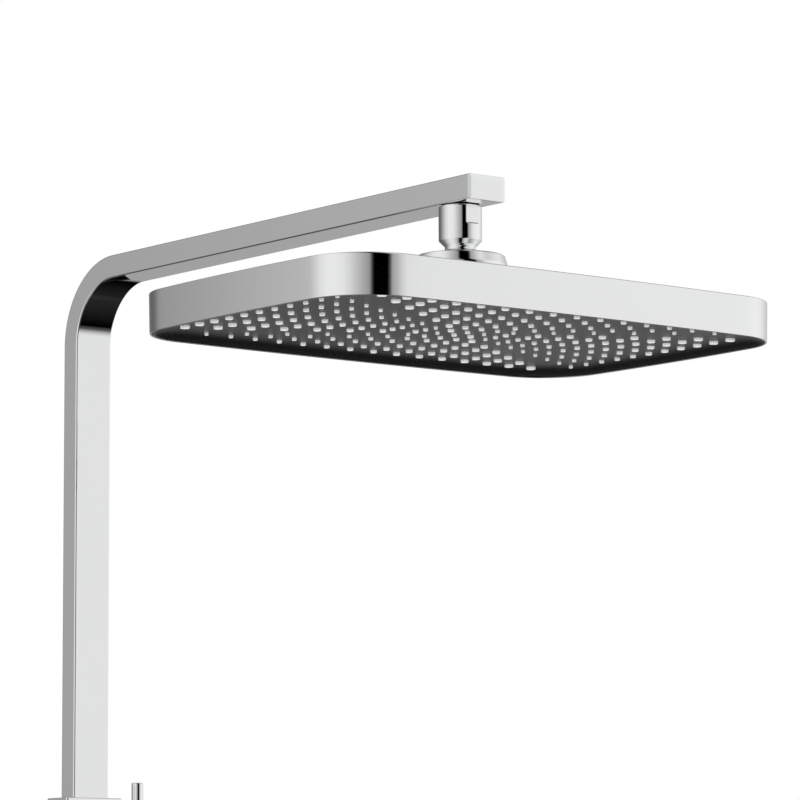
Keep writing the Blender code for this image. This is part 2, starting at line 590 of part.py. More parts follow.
# ---- Handset slider -------------------------------------------------------------------------
def build_slider(slider, lever, socket, mats):
    """Heights here are measured from the clamp's axis, which is level with the socket's pivot."""
    high = HUB_DROP
    low = HUB_DROP - SLIDER_HEIGHT
    half_width = TUBE_WIDTH / 2 + SLIDER_SIDE
    half_depth = TUBE_DEPTH / 2 + SLIDER_FRONT
    liner_in = GAP
    liner_out = GAP + LINER_WALL
    hole_out = liner_out + GAP

    def around_tube(gap):
        return rect_outline(TUBE_WIDTH + 2 * gap, TUBE_DEPTH + 2 * gap, TUBE_EDGE + gap)

    outline = rect_outline(2 * half_width, 2 * half_depth, SLIDER_EDGE)
    rings = [at_height(around_tube(hole_out), low), at_height(outline, low), at_height(outline, high),
             at_height(around_tube(hole_out), high)]
    body = add_piece("slider_body", lofted(rings, closed=True), mats["chrome"], slider)
    liner_low, liner_high = low + LINER_SETBACK, high - LINER_SETBACK
    rings = [at_height(around_tube(liner_in), liner_low), at_height(around_tube(liner_out), liner_low),
             at_height(around_tube(liner_out), liner_high), at_height(around_tube(liner_in), liner_high)]
    liner = add_piece("slider_liner", lofted(rings, closed=True), mats["plastic"], slider)

    pad_in = TUBE_WIDTH / 2 + GAP
    pad_out = pad_in + PAD_THICKNESS
    for label, piece in (("body", body), ("liner", liner)):
        cutter = add_piece("pad_hole_cutter_" + label, rod(PAD_RADIUS + GAP, 0, pad_out + GAP), None, slider,
                           (0, 0, 0), (1, 0, 0))
        combine(piece, cutter, "DIFFERENCE")
    bore = add_piece("spindle_hole_cutter", rod(SPINDLE_RADIUS + GAP, pad_in, half_width + PASS), None,
                     slider, (0, 0, 0), (1, 0, 0))
    combine(body, bore, "DIFFERENCE")
    add_piece("clamp_pad", rod(PAD_RADIUS, pad_in, pad_out), mats["plastic"], slider, (0, 0, 0), (1, 0, 0))

    hub_in = half_width + GAP
    hub_out = LEVER_OFFSET + HUB_OVERHANG
    profile = [(0, pad_out + GAP), (SPINDLE_RADIUS, pad_out + GAP), (SPINDLE_RADIUS, hub_in),
               (HUB_RADIUS, hub_in), (HUB_RADIUS, hub_out - HUB_CHAMFER),
               (HUB_RADIUS - HUB_CHAMFER, hub_out), (0, hub_out)]
    hub = add_piece("clamp_spindle", turned(profile), mats["chrome"], lever, (0, 0, 0), (1, 0, 0))
    half_rod = HUB_DROP + LEVER_RISE
    rod_hole = rod(LEVER_RADIUS + GAP, -half_rod, half_rod, TURN_STEPS)
    rod_hole = add_piece("lever_hole_cutter", rod_hole, None, lever, (LEVER_OFFSET, 0, 0))
    combine(hub, rod_hole, "DIFFERENCE")
    lever_rod = rod(LEVER_RADIUS, -half_rod, half_rod, TURN_STEPS, LEVER_CHAMFER)
    add_piece("lever_rod", lever_rod, mats["chrome"], lever, (LEVER_OFFSET, 0, 0))

    front = -half_depth
    pivot = (0, front - PIVOT_REACH, 0)
    neck = add_piece("socket_neck", rod(NECK_RADIUS, GAP, NECK_LENGTH, TURN_STEPS), mats["chrome"], slider,
                     (0, front, 0), (0, -1, 0))
    tongue = add_piece("tongue_guide", rod(NECK_RADIUS, -TONGUE_HALF, TONGUE_HALF, TURN_STEPS), None, slider,
                       pivot, (1, 0, 0))
    web = block(2 * TONGUE_HALF, 2 * (NECK_RADIUS - WEB_INSET), 0, PIVOT_REACH - NECK_LENGTH + PASS, SQUARE)
    web = add_piece("tongue_web_guide", web, None, slider, pivot, (0, 1, 0))
    combine(neck, web, "UNION")
    combine(neck, tongue, "UNION")
    pin_hole = add_piece("pivot_hole_cutter", rod(PIVOT_RADIUS + GAP, -SOCKET_RADIUS, SOCKET_RADIUS), None,
                         slider, pivot, (1, 0, 0))
    combine(neck, pin_hole, "DIFFERENCE")

    ear_in = TONGUE_HALF + GAP
    ear_out = ear_in + EAR_THICKNESS
    head_in = ear_out + GAP
    head_out = head_in + PIVOT_HEAD_HEIGHT
    profile = [(0, -head_out), (PIVOT_HEAD_RADIUS, -head_out), (PIVOT_HEAD_RADIUS, -head_in),
               (PIVOT_RADIUS, -head_in), (PIVOT_RADIUS, head_in), (PIVOT_HEAD_RADIUS, head_in),
               (PIVOT_HEAD_RADIUS, head_out), (0, head_out)]
    add_piece("socket_screw", turned(profile), mats["steel"], slider, pivot, (1, 0, 0))

    # The socket is a tapered ring with a front slot, and two ears beside the neck's tongue.
    ring_y = -(NECK_RADIUS + SOCKET_NECK_ROOM + SOCKET_RADIUS)
    ring_low, ring_high = -SOCKET_HEIGHT / 2, SOCKET_HEIGHT / 2
    soft = SOCKET_CHAMFER
    profile = [(SOCKET_FOOT_BORE, ring_low), (SOCKET_RADIUS - soft, ring_low),
               (SOCKET_RADIUS, ring_low + soft), (SOCKET_RADIUS, ring_high - soft),
               (SOCKET_RADIUS - soft, ring_high), (SOCKET_TOP_BORE, ring_high)]
    cradle = add_piece("handset_socket", turned(profile), mats["chrome"], socket, (0, ring_y, 0))
    for side in (1, -1):
        label = "right" if side > 0 else "left"
        ear = add_piece("ear_guide_" + label, rod(EAR_RADIUS, ear_in, ear_out, TURN_STEPS), None, socket,
                        (0, 0, 0), (side, 0, 0))
        reach = -ring_y - SOCKET_TOP_BORE
        arm = block(EAR_THICKNESS, 2 * (EAR_RADIUS - WEB_INSET), 0, reach, SQUARE)
        arm = add_piece("ear_arm_guide_" + label, arm, None, socket,
                        (side * (ear_in + ear_out) / 2, 0, 0), (0, -1, 0))
        combine(cradle, ear, "UNION")
        combine(cradle, arm, "UNION")
    slot = block(SOCKET_SLOT, 2 * SOCKET_RADIUS, -SOCKET_HEIGHT, SOCKET_HEIGHT, SQUARE)
    slot = add_piece("hose_slot_cutter", slot, None, socket, (0, ring_y - SOCKET_RADIUS, 0))
    combine(cradle, slot, "DIFFERENCE")
    bore = turned([(0, 2 * ring_low), (SOCKET_FOOT_BORE, 2 * ring_low), (SOCKET_FOOT_BORE, ring_low),
                   (SOCKET_TOP_BORE, ring_high), (SOCKET_TOP_BORE, 2 * ring_high), (0, 2 * ring_high)])
    bore = add_piece("cradle_bore_cutter", bore, None, socket, (0, ring_y, 0))
    combine(cradle, bore, "DIFFERENCE")
    ear_hole = add_piece("ear_hole_cutter", rod(PIVOT_RADIUS + GAP, -SOCKET_RADIUS, SOCKET_RADIUS), None,
                         socket, (0, 0, 0), (1, 0, 0))
    combine(cradle, ear_hole, "DIFFERENCE")


# ---- Wall brackets --------------------------------------------------------------------------
def build_bracket(label, height, column, mats):
    """Profiles run out of the wall: a local height is a distance from the wall's surface."""
    place = Vector((0, 0, height))
    out = (0, -1, 0)
    plate_front = BRACKET_PLATE
    plate = turned([(0, 0), (PLATE_RADIUS, 0), (PLATE_RADIUS, plate_front), (SPIGOT_RADIUS, plate_front),
                    (SPIGOT_RADIUS, plate_front + SPIGOT_LENGTH), (0, plate_front + SPIGOT_LENGTH)])
    plate = add_piece(label + "_wall_plate", plate, mats["steel"], column, place, out)
    for suffix, side in (("a", 1), ("b", -1)):
        spot = place + Vector((0, 0, side * WALL_SCREW_SPREAD))
        hole = add_piece("%s_screw_hole_cutter_%s" % (label, suffix),
                         rod(WALL_SCREW_RADIUS + GAP, -PASS, plate_front + PASS), None, column, spot, out)
        combine(plate, hole, "DIFFERENCE")
        seat = plate_front + GAP
        screw = turned([(0, GAP), (WALL_SCREW_RADIUS, GAP), (WALL_SCREW_RADIUS, seat),
                        (WALL_SCREW_HEAD, seat), (WALL_SCREW_HEAD, seat + WALL_SCREW_RIM),
                        (0, seat + WALL_SCREW_CROWN)], SMALL_STEPS)
        add_piece("%s_wall_screw_%s" % (label, suffix), screw, mats["steel"], column, spot, out)

    post_low = plate_front + GAP
    post_high = WALL_GAP - GAP
    stud_hole = POST_STUD_RADIUS + GAP
    hole_low = post_high - POST_STUD_DEPTH - GAP
    spigot_hole = SPIGOT_RADIUS + GAP
    spigot_high = post_low + SPIGOT_LENGTH + GAP
    post = turned([(0, spigot_high), (spigot_hole, spigot_high), (spigot_hole, post_low),
                   (POST_RADIUS, post_low), (POST_RADIUS, post_high), (stud_hole, post_high),
                   (stud_hole, hole_low), (0, hole_low)])
    post = add_piece(label + "_post", post, mats["chrome"], column, place, out)
    stud_low = hole_low + GAP
    stud_high = WALL_GAP + TUBE_WALL + POST_STUD_REACH
    add_piece(label + "_post_stud", rod(POST_STUD_RADIUS, stud_low, stud_high), mats["steel"], column,
              place, out)

    grub_place = place - Vector((0, (ROSETTE_DEPTH + spigot_high) / 2, 0))
    grub_hole = rod(GRUB_RADIUS + GAP, SPIGOT_RADIUS, POST_RADIUS + PASS)
    grub_hole = add_piece(label + "_grub_hole_cutter", grub_hole, None, column, grub_place, (0, 0, -1))
    combine(post, grub_hole, "DIFFERENCE")
    grub = rod(GRUB_RADIUS, SPIGOT_RADIUS + GAP, POST_RADIUS - GRUB_SINK)
    add_piece(label + "_grub_screw", grub, mats["steel"], column, grub_place, (0, 0, -1))

    collar = POST_RADIUS + GAP
    skin_in = ROSETTE_DEPTH - ROSETTE_WALL
    edge = ROSETTE_EDGE
    rosette = turned([(ROSETTE_RADIUS - ROSETTE_WALL, GAP), (ROSETTE_RADIUS, GAP),
                      (ROSETTE_RADIUS, ROSETTE_DEPTH - edge),
                      (ROSETTE_RADIUS - edge / 3, ROSETTE_DEPTH - edge / 3),
                      (ROSETTE_RADIUS - edge, ROSETTE_DEPTH), (collar, ROSETTE_DEPTH), (collar, skin_in),
                      (ROSETTE_RADIUS - ROSETTE_WALL - edge / 3, skin_in)])
    add_piece(label + "_rosette", rosette, mats["chrome"], column, place, out)


# ---- The whole object -----------------------------------------------------------------------
def main():
    clear_scene()
    mats = {
        "chrome": make_material("chrome", (0.78, 0.78, 0.80), 0.08, 1.0),
        "steel": make_material("steel", (0.60, 0.60, 0.61), 0.30, 1.0),
        "brass": make_material("brass", (0.72, 0.55, 0.28), 0.30, 1.0),
        "face": make_material("face", (0.10, 0.10, 0.105), 0.45, 0.0),
        "silicone": make_material("silicone", (0.72, 0.72, 0.74), 0.50, 0.0),
        "rubber": make_material("rubber", (0.03, 0.03, 0.03), 0.60, 0.0),
        "plastic": make_material("plastic", (0.82, 0.82, 0.80), 0.40, 0.0),
    }
    column = make_body("column", (0, 0, 0))
    seat_spin = make_body("seat_spin", BALL_CENTRE)
    seat_tilt = make_body("seat_tilt", BALL_CENTRE)
    head = make_body("head", BALL_CENTRE)
    slider = make_body("slider", SLIDER_CENTRE)
    lever = make_body("lever", SLIDER_CENTRE)
    socket = make_body("socket", PIVOT_CENTRE)
    build_riser(column, mats)
    build_water_way(column, mats)
    build_joint(column, seat_spin, seat_tilt, head, mats)
    build_head(head, mats)
    build_slider(slider, lever, socket, mats)
    build_bracket("upper", 0.0, column, mats)
    build_bracket("lower", -BRACKET_SPACING, column, mats)


main()
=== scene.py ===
# %% [markdown]
# # A rainfall shower column, dressed for a studio picture
#
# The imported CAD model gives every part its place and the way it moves. This lesson puts fine
# surfaces and real finishes on that frame: a flat chromed tube that bends into an arm, a ball
# joint under it, a wide rain head, and a sliding handset holder further down.
#
# All lengths are metres. X runs along the wall, Y into the wall and Z up.

# %% Load the frame
from math import radians

import bpy
import numpy as np
from mathutils import Matrix, Vector


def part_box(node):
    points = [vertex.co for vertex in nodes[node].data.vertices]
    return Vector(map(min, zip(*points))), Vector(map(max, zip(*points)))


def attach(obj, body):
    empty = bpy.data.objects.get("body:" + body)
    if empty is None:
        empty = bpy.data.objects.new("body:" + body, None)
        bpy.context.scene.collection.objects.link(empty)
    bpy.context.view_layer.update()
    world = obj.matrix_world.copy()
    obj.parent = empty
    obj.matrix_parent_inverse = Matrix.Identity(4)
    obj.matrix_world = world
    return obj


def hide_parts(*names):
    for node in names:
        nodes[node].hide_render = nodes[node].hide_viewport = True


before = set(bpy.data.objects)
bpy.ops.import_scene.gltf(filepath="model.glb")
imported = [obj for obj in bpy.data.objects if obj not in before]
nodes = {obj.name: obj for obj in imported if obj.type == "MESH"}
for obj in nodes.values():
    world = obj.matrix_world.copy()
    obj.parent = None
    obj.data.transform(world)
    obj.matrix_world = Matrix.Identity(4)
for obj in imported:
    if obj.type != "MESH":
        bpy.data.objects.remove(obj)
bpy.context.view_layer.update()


# %% [markdown]
# ## Camera
#
# The picture is taken from a low place to the front left, with a long lens, so the shower is
# seen a little from below and its lines stay almost parallel. A long lens far away is chosen
# over a short one close by, because a product picture wants little perspective.

# %% Camera
CAMERA_PLACE = (-1.6942, -2.5748, 0.0296)
CAMERA_TURN = radians(-38.088)          # about Z, from looking into the wall
CAMERA_RISE = radians(7.400)
CAMERA_ROLL = radians(-0.192)
CAMERA_LENS = 193.65

camera = bpy.data.objects.new("camera", bpy.data.cameras.new("camera"))
bpy.context.collection.objects.link(camera)
turn = (Matrix.Rotation(CAMERA_TURN, 4, "Z") @ Matrix.Rotation(radians(90) + CAMERA_RISE, 4, "X")
        @ Matrix.Rotation(CAMERA_ROLL, 4, "Z"))
camera.matrix_world = Matrix.Translation(CAMERA_PLACE) @ turn
camera.data.sensor_width = 36
camera.data.lens = CAMERA_LENS
camera.data.clip_end = 100
bpy.context.scene.camera = camera
print("camera:", tuple(round(v, 3) for v in camera.location), "lens", camera.data.lens, "mm")


# %% [markdown]
# ## Studio
#
# Chrome has no colour of its own to show: it shows the room. So the room is made first. It is a
# white studio with one tall black flag, a darker back, a dark ceiling, and nothing bright low
# down. A room of light panels would do, but a sky that is worked out from a direction is smooth,
# has no edges where a panel ends, and costs nothing to render. Looked at straight, it is white.

# %% Helpers for node trees
def add_node(tree, kind, **settings):
    """One node; settings that name an input set its value, the rest set the node's own fields."""
    node = tree.nodes.new(kind)
    for key, value in settings.items():
        if key in node.inputs:
            node.inputs[key].default_value = value
        else:
            setattr(node, key, value)
    return node


def maths(tree, operation, first, second=None):
    """One Math node over links or numbers; gives its output."""
    node = add_node(tree, "ShaderNodeMath", operation=operation)
    for socket, value in zip(node.inputs, (first, second)):
        if isinstance(value, (int, float)):
            socket.default_value = value
        elif value is not None:
            tree.links.new(value, socket)
    return node.outputs[0]


def ramp(tree, factor, stops, mode="LINEAR"):
    """A colour ramp through grey stops of (place, level) or (place, (red, green, blue))."""
    node = add_node(tree, "ShaderNodeValToRGB")
    band = node.color_ramp
    band.interpolation = mode
    while len(band.elements) < len(stops):
        band.elements.new(1.0)
    for element, (place, level) in zip(band.elements, sorted(stops)):
        element.position = place
        element.color = (*level, 1) if isinstance(level, tuple) else (level, level, level, 1)
    tree.links.new(factor, node.inputs[0])
    return node.outputs[0]


# %% Room levels
# Levels round the room by compass angle from +X, as the chrome is to see them.
ROOM_LEVELS = [(180, 0.85), (196, 0.80), (207, 0.69), (217, 0.55), (228, 0.42), (238, 0.31), (243, 0.04),
               (246, 0.0), (268, 0.0), (272, 0.08), (276, 0.36), (284, 0.47), (294, 0.66), (304, 0.80),
               (321, 0.86), (337, 0.90), (357, 0.84), (369, 0.73), (387, 0.60), (412, 0.40), (430, 0.20),
               (447, 0.12), (462, 0.16), (473, 0.25), (483, 0.36), (491, 0.46), (499, 0.58), (514, 0.75),
               (527, 0.84), (540, 0.85)]
# How much of that is left at each angle above or below the horizon, and the least that is left
# near the floor at each compass angle.
LOW_LEVELS = [(-90, 0.42), (-66, 0.30), (-56, 0.02), (-24, 0.0), (-19, 0.12), (-13, 0.75), (-9, 1.0),
              (90, 1.0)]
FLOOR_LEVELS = [(180, 0.5), (272, 0.5), (298, 0.0), (418, 0.0), (445, 0.5), (540, 0.5)]
# The share of the dark ceiling at each angle above the horizon: everywhere, and over one side.
CEILING_SHARE = [(-90, 0.0), (56, 0.0), (76, 1.0), (90, 1.0)]
CANOPY_SHARE = [(-90, 0.0), (24, 0.0), (44, 1.0), (90, 1.0)]
CANOPY_SIDE = [(180, 0.0), (300, 0.0), (325, 0.8), (400, 0.8), (420, 0.0), (540, 0.0)]
CEILING_LEVEL = 0.16
FLAG_LEAN = 0.51                        # how far the flag leans back for each degree above its knee
FLAG_KNEE = radians(10)
DIFFUSE_LEVEL = 1.15                    # what lights the parts that are not mirrors

# %% Directions in the room
world = bpy.data.worlds.new("studio")
bpy.context.scene.world = world
world.use_nodes = True
tree = world.node_tree
tree.nodes.clear()
compass = add_node(tree, "ShaderNodeTexCoord")
parts = add_node(tree, "ShaderNodeSeparateXYZ")
tree.links.new(compass.outputs["Generated"], parts.inputs[0])
azimuth = maths(tree, "ARCTAN2", parts.outputs[1], parts.outputs[0])
rise = maths(tree, "ARCSINE", parts.outputs[2])
lean = maths(tree, "MAXIMUM", maths(tree, "SUBTRACT", rise, FLAG_KNEE), 0.0)
leaned = maths(tree, "ADD", azimuth, maths(tree, "MULTIPLY", lean, FLAG_LEAN))
around = maths(tree, "FRACT", maths(tree, "ADD", maths(tree, "DIVIDE", leaned, 2 * np.pi), 0.5))
height = maths(tree, "ADD", maths(tree, "DIVIDE", rise, np.pi), 0.5)


def compass_ramp(levels):
    """Levels by compass angle, given from 180 to 540 degrees from +X."""
    return ramp(tree, around, [((angle - 180) / 360, level) for angle, level in levels])


def height_ramp(levels):
    """Levels by angle above the horizon, from -90 to 90 degrees."""
    return ramp(tree, height, [(angle / 180 + 0.5, level) for angle, level in levels])


def mixed(first, second, share):
    """first (1 - share) + second share."""
    rest = maths(tree, "MULTIPLY", first, maths(tree, "SUBTRACT", 1.0, share))
    return maths(tree, "ADD", rest, maths(tree, "MULTIPLY", second, share))


# %% Room shader
walls = maths(tree, "MULTIPLY", compass_ramp(ROOM_LEVELS),
              maths(tree, "MAXIMUM", height_ramp(LOW_LEVELS), compass_ramp(FLOOR_LEVELS)))
canopy = maths(tree, "MULTIPLY", height_ramp(CANOPY_SHARE), compass_ramp(CANOPY_SIDE))
ceiling = maths(tree, "MAXIMUM", height_ramp(CEILING_SHARE), canopy)
ray = add_node(tree, "ShaderNodeLightPath")
seen = mixed(DIFFUSE_LEVEL, mixed(walls, CEILING_LEVEL, ceiling), ray.outputs["Is Glossy Ray"])
sky = add_node(tree, "ShaderNodeBackground")
tree.links.new(seen, sky.inputs["Color"])
plain = add_node(tree, "ShaderNodeBackground", Color=(1, 1, 1, 1), Strength=1.0)
choice = add_node(tree, "ShaderNodeMixShader")
tree.links.new(ray.outputs["Is Camera Ray"], choice.inputs[0])
tree.links.new(sky.outputs[0], choice.inputs[1])
tree.links.new(plain.outputs[0], choice.inputs[2])
out = add_node(tree, "ShaderNodeOutputWorld")
tree.links.new(choice.outputs[0], out.inputs["Surface"])
bpy.context.scene.view_settings.view_transform = "Standard"
print("room:", len(ROOM_LEVELS), "levels round,", len(LOW_LEVELS), "from floor to ceiling")


# %% [markdown]
# ## Turning arrays into pieces
#
# Every new piece is a grid of points: rows along it, columns round it. One helper joins the
# grid into quads, closes both ends, checks by volume that the faces look outwards, and hands the
# piece to the frame. The alternative, stacking Blender's own cylinders and cubes, gives hard
# stand-in shapes whose edges catch no light.

# %% From grid to piece
made_faces = {}


def grid_faces(grid, ring, first):
    """Quads between neighbouring rows; columns always close on themselves, rows only for a ring."""
    rows, columns = grid.shape[:2]
    index = first + np.arange(rows * columns).reshape(rows, columns)
    low, high = (index, np.roll(index, -1, axis=0)) if ring else (index[:-1], index[1:])
    quads = np.stack([low, np.roll(low, -1, axis=1), np.roll(high, -1, axis=1), high], axis=-1)
    faces = quads.reshape(-1, 4).tolist()
    if not ring:
        faces += [index[0][::-1].tolist(), index[-1].tolist()]
    return faces


def outward(grid, ring):
    """The grid with its columns turned round if the volume it encloses comes out negative. The
    volume is the sum of a . (b x c) over the triangles, seen from the middle of the points."""
    points = grid.reshape(-1, 3)
    middle = points.mean(axis=0)
    quads = np.array([face for face in grid_faces(grid, ring, 0) if len(face) == 4])
    a, b, c, d = (points[quads[:, corner]] - middle for corner in range(4))
    volume = (a * (np.cross(b, c) + np.cross(c, d))).sum()
    if not ring:
        for row, sign in ((grid[0], -1), (grid[-1], 1)):
            rim = row - middle
            volume += sign * (np.cross(rim, np.roll(rim, -1, axis=0)) @ rim.mean(axis=0)).sum()
    return grid if volume > 0 else grid[:, ::-1]


def piece(name, grids, finish, body, replaced=(), sharp=32):
    """Makes one object of one or more closed grids. A grid is (points, True if its rows form a ring)."""
    points, faces, first = [], [], 0
    for grid, ring in grids:
        grid = outward(np.asarray(grid, float), ring)
        faces += grid_faces(grid, ring, first)
        points.append(grid.reshape(-1, 3))
        first += points[-1].shape[0]
    mesh = bpy.data.meshes.new(name)
    mesh.from_pydata(np.concatenate(points).tolist(), [], faces)
    mesh.shade_smooth()
    mesh.set_sharp_from_angle(angle=radians(sharp))
    mesh.materials.append(finish)
    thing = bpy.data.objects.new(name, mesh)
    bpy.context.collection.objects.link(thing)
    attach(thing, body)
    if replaced:
        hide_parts(*replaced)
    made_faces[name] = len(faces)
    print("%-18s %6d faces on %s" % (name, len(faces), body))
    return thing


# %% Profiles and turning
GUARD = 0.0002                          # width of the strip beside a rounded edge
TIP = 0.0001                            # radius at which a turned piece is closed on its axis


def eased(profile, radius, steps=5):
    """Each inner corner P becomes the curve (1-t)^2 A + 2t(1-t) P + t^2 B, where A and B lie a
    radius away from P on the lines to its neighbours, or 0.45 of a line where it is short. One
    more point just outside A and B keeps the smoothed shading of a flat from bending."""
    p = np.asarray(profile, float)
    before, corner, after = p[:-2], p[1:-1], p[2:]
    reach = np.broadcast_to(np.asarray(radius, float), len(corner))[:, None]
    back, ahead = before - corner, after - corner
    back_length = np.linalg.norm(back, axis=1, keepdims=True)
    ahead_length = np.linalg.norm(ahead, axis=1, keepdims=True)
    a = corner + back / back_length * np.minimum(reach, 0.45 * back_length)
    b = corner + ahead / ahead_length * np.minimum(reach, 0.45 * ahead_length)
    first = corner + back / back_length * np.minimum(reach + GUARD, 0.48 * back_length)
    last = corner + ahead / ahead_length * np.minimum(reach + GUARD, 0.48 * ahead_length)
    t = np.linspace(0, 1, steps)[None, :, None]
    curve = (1 - t) ** 2 * a[:, None] + 2 * t * (1 - t) * corner[:, None] + t ** 2 * b[:, None]
    curve = np.concatenate([first[:, None], curve, last[:, None]], axis=1)
    return np.concatenate([p[:1], curve.reshape(-1, 2), p[-1:]])


def turned(profile, centre, axis="z", steps=96):
    """A profile of (radius r, height h) turned round an axis through centre: r cos a and r sin a
    across it, h along it. Axis "out" runs from the wall into the room."""
    profile = np.asarray(profile, float)
    angle = np.linspace(0, 2 * np.pi, steps, endpoint=False)
    across = profile[:, :1] * np.cos(angle)
    beside = profile[:, :1] * np.sin(angle)
    along = np.broadcast_to(profile[:, 1:2], across.shape)
    order = {"z": (across, beside, along), "x": (along, across, beside), "out": (across, -along, beside)}
    return np.stack(order[axis], axis=-1) + np.asarray(centre, float)


def rounded_rectangle(width, depth, radius, steps=7):
    """Four quarter circles of one radius about the corners of the inner rectangle, in turn, each
    with one more point before and after it along the flats."""
    angle = np.linspace(0, np.pi / 2, steps)[None] + np.arange(4)[:, None] * np.pi / 2
    side = np.array([[1, 1], [-1, 1], [-1, -1], [1, -1]])
    x = side[:, :1] * (width / 2 - radius) + radius * np.cos(angle)
    y = side[:, 1:] * (depth / 2 - radius) + radius * np.sin(angle)
    arc = np.stack([x, y], axis=-1)
    along = np.array([[0, -1], [1, 0], [0, 1], [-1, 0]]) * GUARD
    before, after = arc[:, :1] + along[:, None], arc[:, -1:] - np.roll(along, -1, 0)[:, None]
    return np.concatenate([before, arc, after], axis=1).reshape(-1, 2)


def level_ring(width, depth, radius, height, steps=7):
    """A rounded rectangle with one height at all its points."""
    return np.pad(rounded_rectangle(width, depth, radius, steps), ((0, 0), (0, 1)), constant_values=height)


def middle_of(name):
    """A CAD node's lowest corner, highest corner and middle, as arrays."""
    low, high = (np.array(corner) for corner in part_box(name))
    return low, high, (low + high) / 2


# %% [markdown]
# ## Finishes
#
# The real shower has bright chrome on all its metal, a dark face under the head, pale rubber
# nozzles, and plain steel, brass and plastic where nobody looks. Each finish is a node tree on
# Object coordinates, so a pattern stays with its piece when the piece moves. Chrome is never a
# perfect mirror: it gets a slow unevenness in its gloss and a faint ripple from polishing.

# %% Finishes
def finish(name, colour, metallic, rough, grain, bump, grain_stretch=(1, 1, 1), tint=0.06, **settings):
    """Principled metal or plastic. Two noises, one slow and one fine, move its roughness between
    two values and its colour by a small share, and the fine one gives a bump."""
    made = bpy.data.materials.new(name)
    made.use_nodes = True
    tree = made.node_tree
    shader = tree.nodes["Principled BSDF"]
    shader.inputs["Metallic"].default_value = metallic
    for key, value in settings.items():
        shader.inputs[key.replace("_", " ")].default_value = value
    spot = add_node(tree, "ShaderNodeTexCoord")
    stretch = add_node(tree, "ShaderNodeMapping", Scale=grain_stretch)
    tree.links.new(spot.outputs["Object"], stretch.inputs["Vector"])
    slow = add_node(tree, "ShaderNodeTexNoise", Scale=9.0, Detail=3.0)
    fine = add_node(tree, "ShaderNodeTexNoise", Scale=grain, Detail=4.0)
    tree.links.new(spot.outputs["Object"], slow.inputs["Vector"])
    tree.links.new(stretch.outputs[0], fine.inputs["Vector"])
    level = maths(tree, "ADD", maths(tree, "MULTIPLY", slow.outputs[0], 0.7),
                  maths(tree, "MULTIPLY", fine.outputs[0], 0.3))
    gloss = add_node(tree, "ShaderNodeMapRange", **{"From Min": 0.3, "From Max": 0.7,
                                                     "To Min": rough[0], "To Max": rough[1]})
    tree.links.new(level, gloss.inputs["Value"])
    tree.links.new(gloss.outputs[0], shader.inputs["Roughness"])
    darker = tuple(c * (1 - tint) for c in colour)
    tone = ramp(tree, level, [(0.3, darker), (0.7, colour)])
    tree.links.new(tone, shader.inputs["Base Color"])
    if bump:
        relief = add_node(tree, "ShaderNodeBump", Strength=bump, Distance=0.0001)
        tree.links.new(fine.outputs[0], relief.inputs["Height"])
        tree.links.new(relief.outputs[0], shader.inputs["Normal"])
    return made


CHROME_COLOUR = (0.945, 0.95, 0.955)
chrome = finish("polished_chrome", CHROME_COLOUR, 1.0, (0.015, 0.045), 140, 0.02, tint=0.015)
steel = finish("turned_steel", (0.62, 0.61, 0.60), 1.0, (0.25, 0.38), 900, 0.2, (1, 1, 12))
brass = finish("machined_brass", (0.72, 0.53, 0.27), 1.0, (0.22, 0.36), 700, 0.2, (1, 1, 10))
face_finish = finish("dark_face", (0.012, 0.012, 0.0125), 0.0, (0.25, 0.31), 1200, 0.03, tint=0.12,
                     IOR=1.36)
rubber_grey = finish("nozzle_rubber", (0.86, 0.86, 0.87), 0.0, (0.38, 0.50), 900, 0.1, tint=0.05)
rubber_black = finish("seal_rubber", (0.022, 0.022, 0.022), 0.0, (0.50, 0.65), 800, 0.2, tint=0.2)
plastic = finish("moulded_plastic", (0.80, 0.80, 0.78), 0.0, (0.32, 0.42), 600, 0.1, tint=0.04)
slot_finish = {"chrome": chrome, "steel": steel, "brass": brass, "face": face_finish,
               "silicone": rubber_grey, "rubber": rubber_black, "plastic": plastic}
print("finishes:", ", ".join(made.name for made in slot_finish.values()))


# %% [markdown]
# The CAD nodes that stay in sight, or hide inside, take the finish that their own colour in the
# frame calls for. The name of each node's material in the frame gives its slot.

# %% Finish the CAD nodes
def slot_of(node):
    """The slot a CAD node was packed with, read from the name of its material."""
    held = nodes[node].data.materials
    label = held[0].name.split(".")[0] if len(held) and held[0] else "chrome"
    return label if label in slot_finish else next((s for s in slot_finish if s in label), "chrome")


for label, thing in nodes.items():
    wanted = slot_finish[slot_of(label)]
    thing.data.materials.clear()
    thing.data.materials.append(wanted)
print("finished", len(nodes), "CAD nodes")


# %% [markdown]
# ## The riser and its arm
#
# One flat tube, 29 by 16 mm, stands in front of the wall and bends forward into the arm. A tube
# bender leaves a true arc and keeps the section, so the section is carried along a line, an arc
# and a line. A curve object with a bevel would do nearly the same, but not the hollow end.

# %% Riser and arm
tube_low, tube_high, _ = middle_of("riser_tube")
cap_low, cap_high, cap_middle = middle_of("arm_end_cap")
TUBE_WIDTH = tube_high[0] - tube_low[0]
TUBE_DEPTH = cap_high[2] - cap_low[2]
TUBE_WALL = 0.0015
EDGE = 0.0011                           # radius of the tube's long edges
BEND_OUTSIDE = 0.059                    # radius of the bend's outer face
BEND_GUARD = 0.001                      # the same strip as GUARD, beside the bend
bend_y, bend_z = tube_high[1] - BEND_OUTSIDE, tube_high[2] - BEND_OUTSIDE
bend_middle = BEND_OUTSIDE - TUBE_DEPTH / 2
CAP_THICKNESS = 0.002


